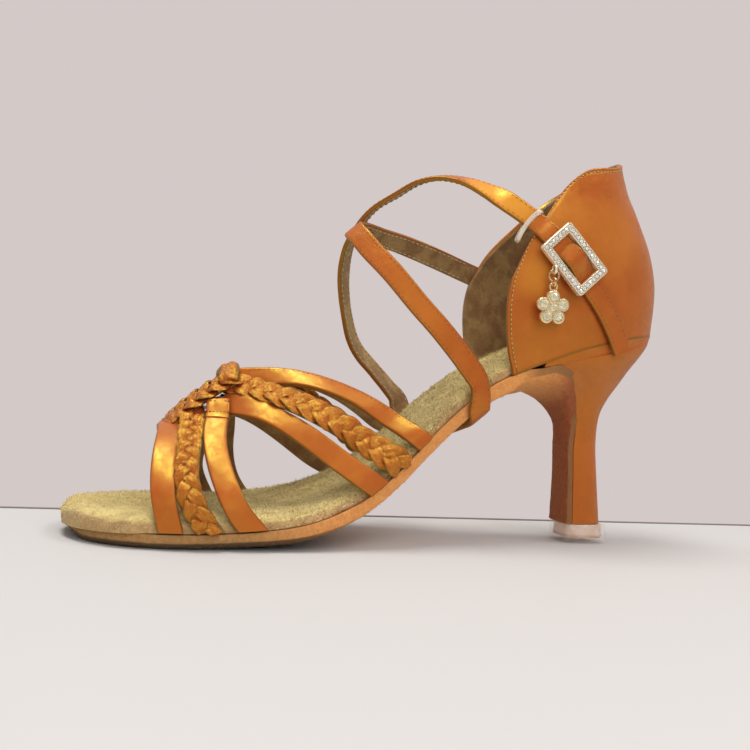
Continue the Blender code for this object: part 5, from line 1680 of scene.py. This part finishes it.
def charm_places():
    """Placing matrices of the hanging chain, each ring at right angles to the last."""
    at = buckle_frame_place()
    outward = at.to_3x3() @ Vector((0, 0, 1))
    outward = Vector((outward.x, outward.y, 0)).normalized()
    up = Vector((0, 0, 1))
    sideways = outward.cross(up)
    lug = at @ Vector((LUG_ALONG, -BUCKLE_WIDTH / 2 - LUG_OUT, 0))
    flat = axes(sideways, up, sideways.cross(up))
    turned = axes(outward, up, outward.cross(up))
    hook = 2 * CHARM_WIRE + GAP
    ring = lug - up * (LUG_RADIUS + RING_RADIUS - LUG_WIRE - CHARM_WIRE - GAP)
    link = ring - up * (RING_RADIUS + LINK_RADIUS - hook)
    loop = link - up * (LINK_RADIUS + LOOP_RADIUS - hook)
    flower = loop - up * (LOOP_RADIUS + PETAL_REACH + PETAL_RADIUS - CHARM_WIRE / 2)
    centres = {"lug": (lug, turned), "ring": (ring, flat), "link": (link, turned), "loop": (loop, flat),
               "flower": (flower, flat)}
    return {name: Matrix.Translation(centre) @ way for name, (centre, way) in centres.items()}


def flower_ring(at, height, shrink):
    ring = []
    steps = 24
    for i in range(PETALS * steps):
        turn = 2 * pi * i / (PETALS * steps)
        off = (turn + pi / PETALS) % (2 * pi / PETALS) - pi / PETALS
        cut = PETAL_RADIUS ** 2 - (PETAL_REACH * sin(off)) ** 2
        reach = PETAL_REACH * cos(off) + max(cut, 0.0) ** 0.5 - shrink
        ring.append(at @ Vector((-reach * sin(turn), reach * cos(turn), height)))
    return ring


def make_charm():
    places = charm_places()
    pile = Pile()
    add_torus(pile, RING_RADIUS, RING_THIN * CHARM_WIRE, places["ring"])
    pile.make("charm_ring_gold", [RING_METAL], "ring_metal", nodes=["charm_ring"], body="charm_ring")
    pile = Pile()
    add_torus(pile, LINK_RADIUS, CHARM_WIRE, places["link"])
    pile.make("charm_link_gold", [RING_METAL], "link_metal", nodes=["charm_link"], body="charm_link")
    at = places["flower"]
    half = CHARM_THICKNESS / 2
    profile = [(half, 0.0005), (half - 0.0001, 0.0002), (half - 0.0003, 0.0), (0.0001 - half, 0.0),
               (-half, 0.00012), (-half, 0.0004), (0.0004 - half, 0.0006)]
    pile = Pile()
    pile.add(loft_rings([flower_ring(at, height, shrink) for height, shrink in profile]))
    add_torus(pile, LOOP_RADIUS, LOOP_THIN * CHARM_WIRE, places["loop"])
    stones = Pile()
    flip = Matrix.Rotation(pi, 4, "X")
    for k in range(PETALS):
        turn = 2 * pi * k / PETALS
        x = -PETAL_REACH * sin(turn)
        y = PETAL_REACH * cos(turn)
        spot = at @ Matrix.Translation((x, y, -half + 0.00005))
        add_torus(pile, 0.00185, 0.00032, spot)
        tilt = Matrix.Rotation(0.12 * sin(k * 2.1), 4, "X")
        tilt @= Matrix.Rotation(0.12 * cos(k * 1.7), 4, "Y")
        add_stone(stones, spot @ flip @ tilt, 0.00168, 0.00075, 10)
        for angle in (turn - 0.6, turn + 0.6):
            bead = Vector((-BEAD_REACH * sin(angle), BEAD_REACH * cos(angle), -half - 0.0001))
            add_ball(pile, at @ bead, 0.00028, at.to_3x3() @ Vector((0, 0, -1)))
    spot = at @ Matrix.Translation((0, 0, -half - 0.00005))
    add_torus(pile, 0.00165, 0.0003, spot)
    add_stone(stones, spot @ flip, 0.0015, 0.00085, 10)
    pile.make("charm_flower_gold", [FLOWER_METAL], "flower_metal", nodes=["charm_flower"],
              body="charm_flower", angle=45)
    stones.make("charm_flower_stones", [ROSE_STONE], "flower_metal", body="charm_flower", angle=10)


def stage_finish(name, colour):
    n = Nodes(name)
    tone = n.noise(n.place(), 4.0, 3.0)
    n.set(Base_Color=n.mix(tone, colour, tuple(c * 0.97 for c in colour)), Roughness=0.7,
          Normal=n.bump(n.noise(n.place(), 900.0, 2.0), 0.05, 0.0002))
    return n.material


def make_slab(name, corners, shift, finish):
    """Flat block between four corners and the same corners shifted up or down."""
    faces = [(0, 3, 2, 1), (4, 5, 6, 7), (0, 1, 5, 4), (1, 2, 6, 5), (2, 3, 7, 6), (3, 0, 4, 7)]
    if shift > 0:
        faces = [face[::-1] for face in faces]
    mesh = bpy.data.meshes.new(name)
    mesh.from_pydata(corners + [corner + Vector((0, 0, shift)) for corner in corners], [], faces)
    mesh.materials.append(finish)
    slab = bpy.data.objects.new(name, mesh)
    scene.collection.objects.link(slab)


def make_stage():
    """Pale table whose far edge lies just behind the shoe, with a thin dark strip along that edge as a
    painted shadow line.
    """
    near, far = [Vector((*corner, 0)) for corner in TABLE_EDGE]
    way = (far - near).normalized()
    back = Vector((-way.y, way.x, 0))
    left = near - way * 1.5
    right = far + way * 1.5
    front = -back * 2.0
    deep = back * 0.002
    make_slab("table", [left, right, right + front, left + front], -0.02,
              stage_finish("table_white", (0.53, 0.523, 0.515)))
    # Thin dark strip along the far edge: painted shadow line
    make_slab("table_line", [left, right, right + deep, left + deep], 0.0004,
              stage_finish("table_seam", (0.2, 0.17, 0.16)))


def area_light(name, place_at, aim, size, power, colour=(1, 1, 1), size_y=None):
    data = bpy.data.lights.new(name, "AREA")
    data.energy = power
    data.color = colour
    data.size = size
    if size_y:
        data.shape = "RECTANGLE"
        data.size_y = size_y
    obj = bpy.data.objects.new(name, data)
    obj.location = place_at
    obj.rotation_euler = (Vector(aim) - Vector(place_at)).to_track_quat("-Z", "Y").to_euler()
    scene.collection.objects.link(obj)
    return obj


def make_light():
    world = bpy.data.worlds.new("room")
    scene.world = world
    world.use_nodes = True
    world.node_tree.nodes.clear()
    room = Tree(world.node_tree)
    place_at = room.add("ShaderNodeTexCoord").outputs["Generated"]
    rise = room.add("ShaderNodeSeparateXYZ", i0=place_at).outputs[1]
    glow = room.mix(room.ramp(rise, -0.9, 0.6), (0.16, 0.15, 0.14), (0.6, 0.555, 0.54))
    lit = room.add("ShaderNodeBackground", i0=glow).outputs[0]
    seen = room.add("ShaderNodeBackground", i0=(0.655, 0.585, 0.575, 1)).outputs[0]
    direct = room.add("ShaderNodeLightPath").outputs["Is Camera Ray"]
    both = room.add("ShaderNodeMixShader", i0=direct, i1=lit, i2=seen).outputs[0]
    room.add("ShaderNodeOutputWorld", i0=both)
    warm = (1.0, 0.97, 0.95)
    area_light("ceiling", (-0.12, -0.02, 1.08), (0.04, 0, 0.03), 0.6, 8.0, warm, 0.34)
    area_light("ceiling_right", (0.62, -0.2, 0.9), (0.06, 0, 0.05), 0.36, 2.6, warm)
    area_light("glint", (-0.3, -1.05, 0.42), (0.08, 0, 0.06), 0.4, 0.8, (1.0, 0.97, 0.94))
    fill = area_light("fill", (0.1, -1.15, 0.7), (0.04, 0, 0.04), 1.0, 10.5, (1.0, 0.97, 0.96))
    fill.visible_glossy = False


def make_camera():
    data = bpy.data.cameras.new("camera")
    data.lens = LENS
    data.sensor_width = 36.0
    data.clip_start = 0.01
    obj = bpy.data.objects.new("camera", data)
    scene.collection.objects.link(obj)
    obj.matrix_world = Matrix.Translation(CAMERA_PLACE) @ Matrix(CAMERA_AXES).transposed().to_4x4()
    scene.camera = obj


scene.view_settings.view_transform = "Standard"
make_camera()
make_light()
make_stage()
make_outsole()
make_insole()
make_heel()
make_tip()
make_cup()
make_counter()
make_vamp()
line, spots = make_ankle()
make_keeper(line, spots)
make_buckle()
make_charm()
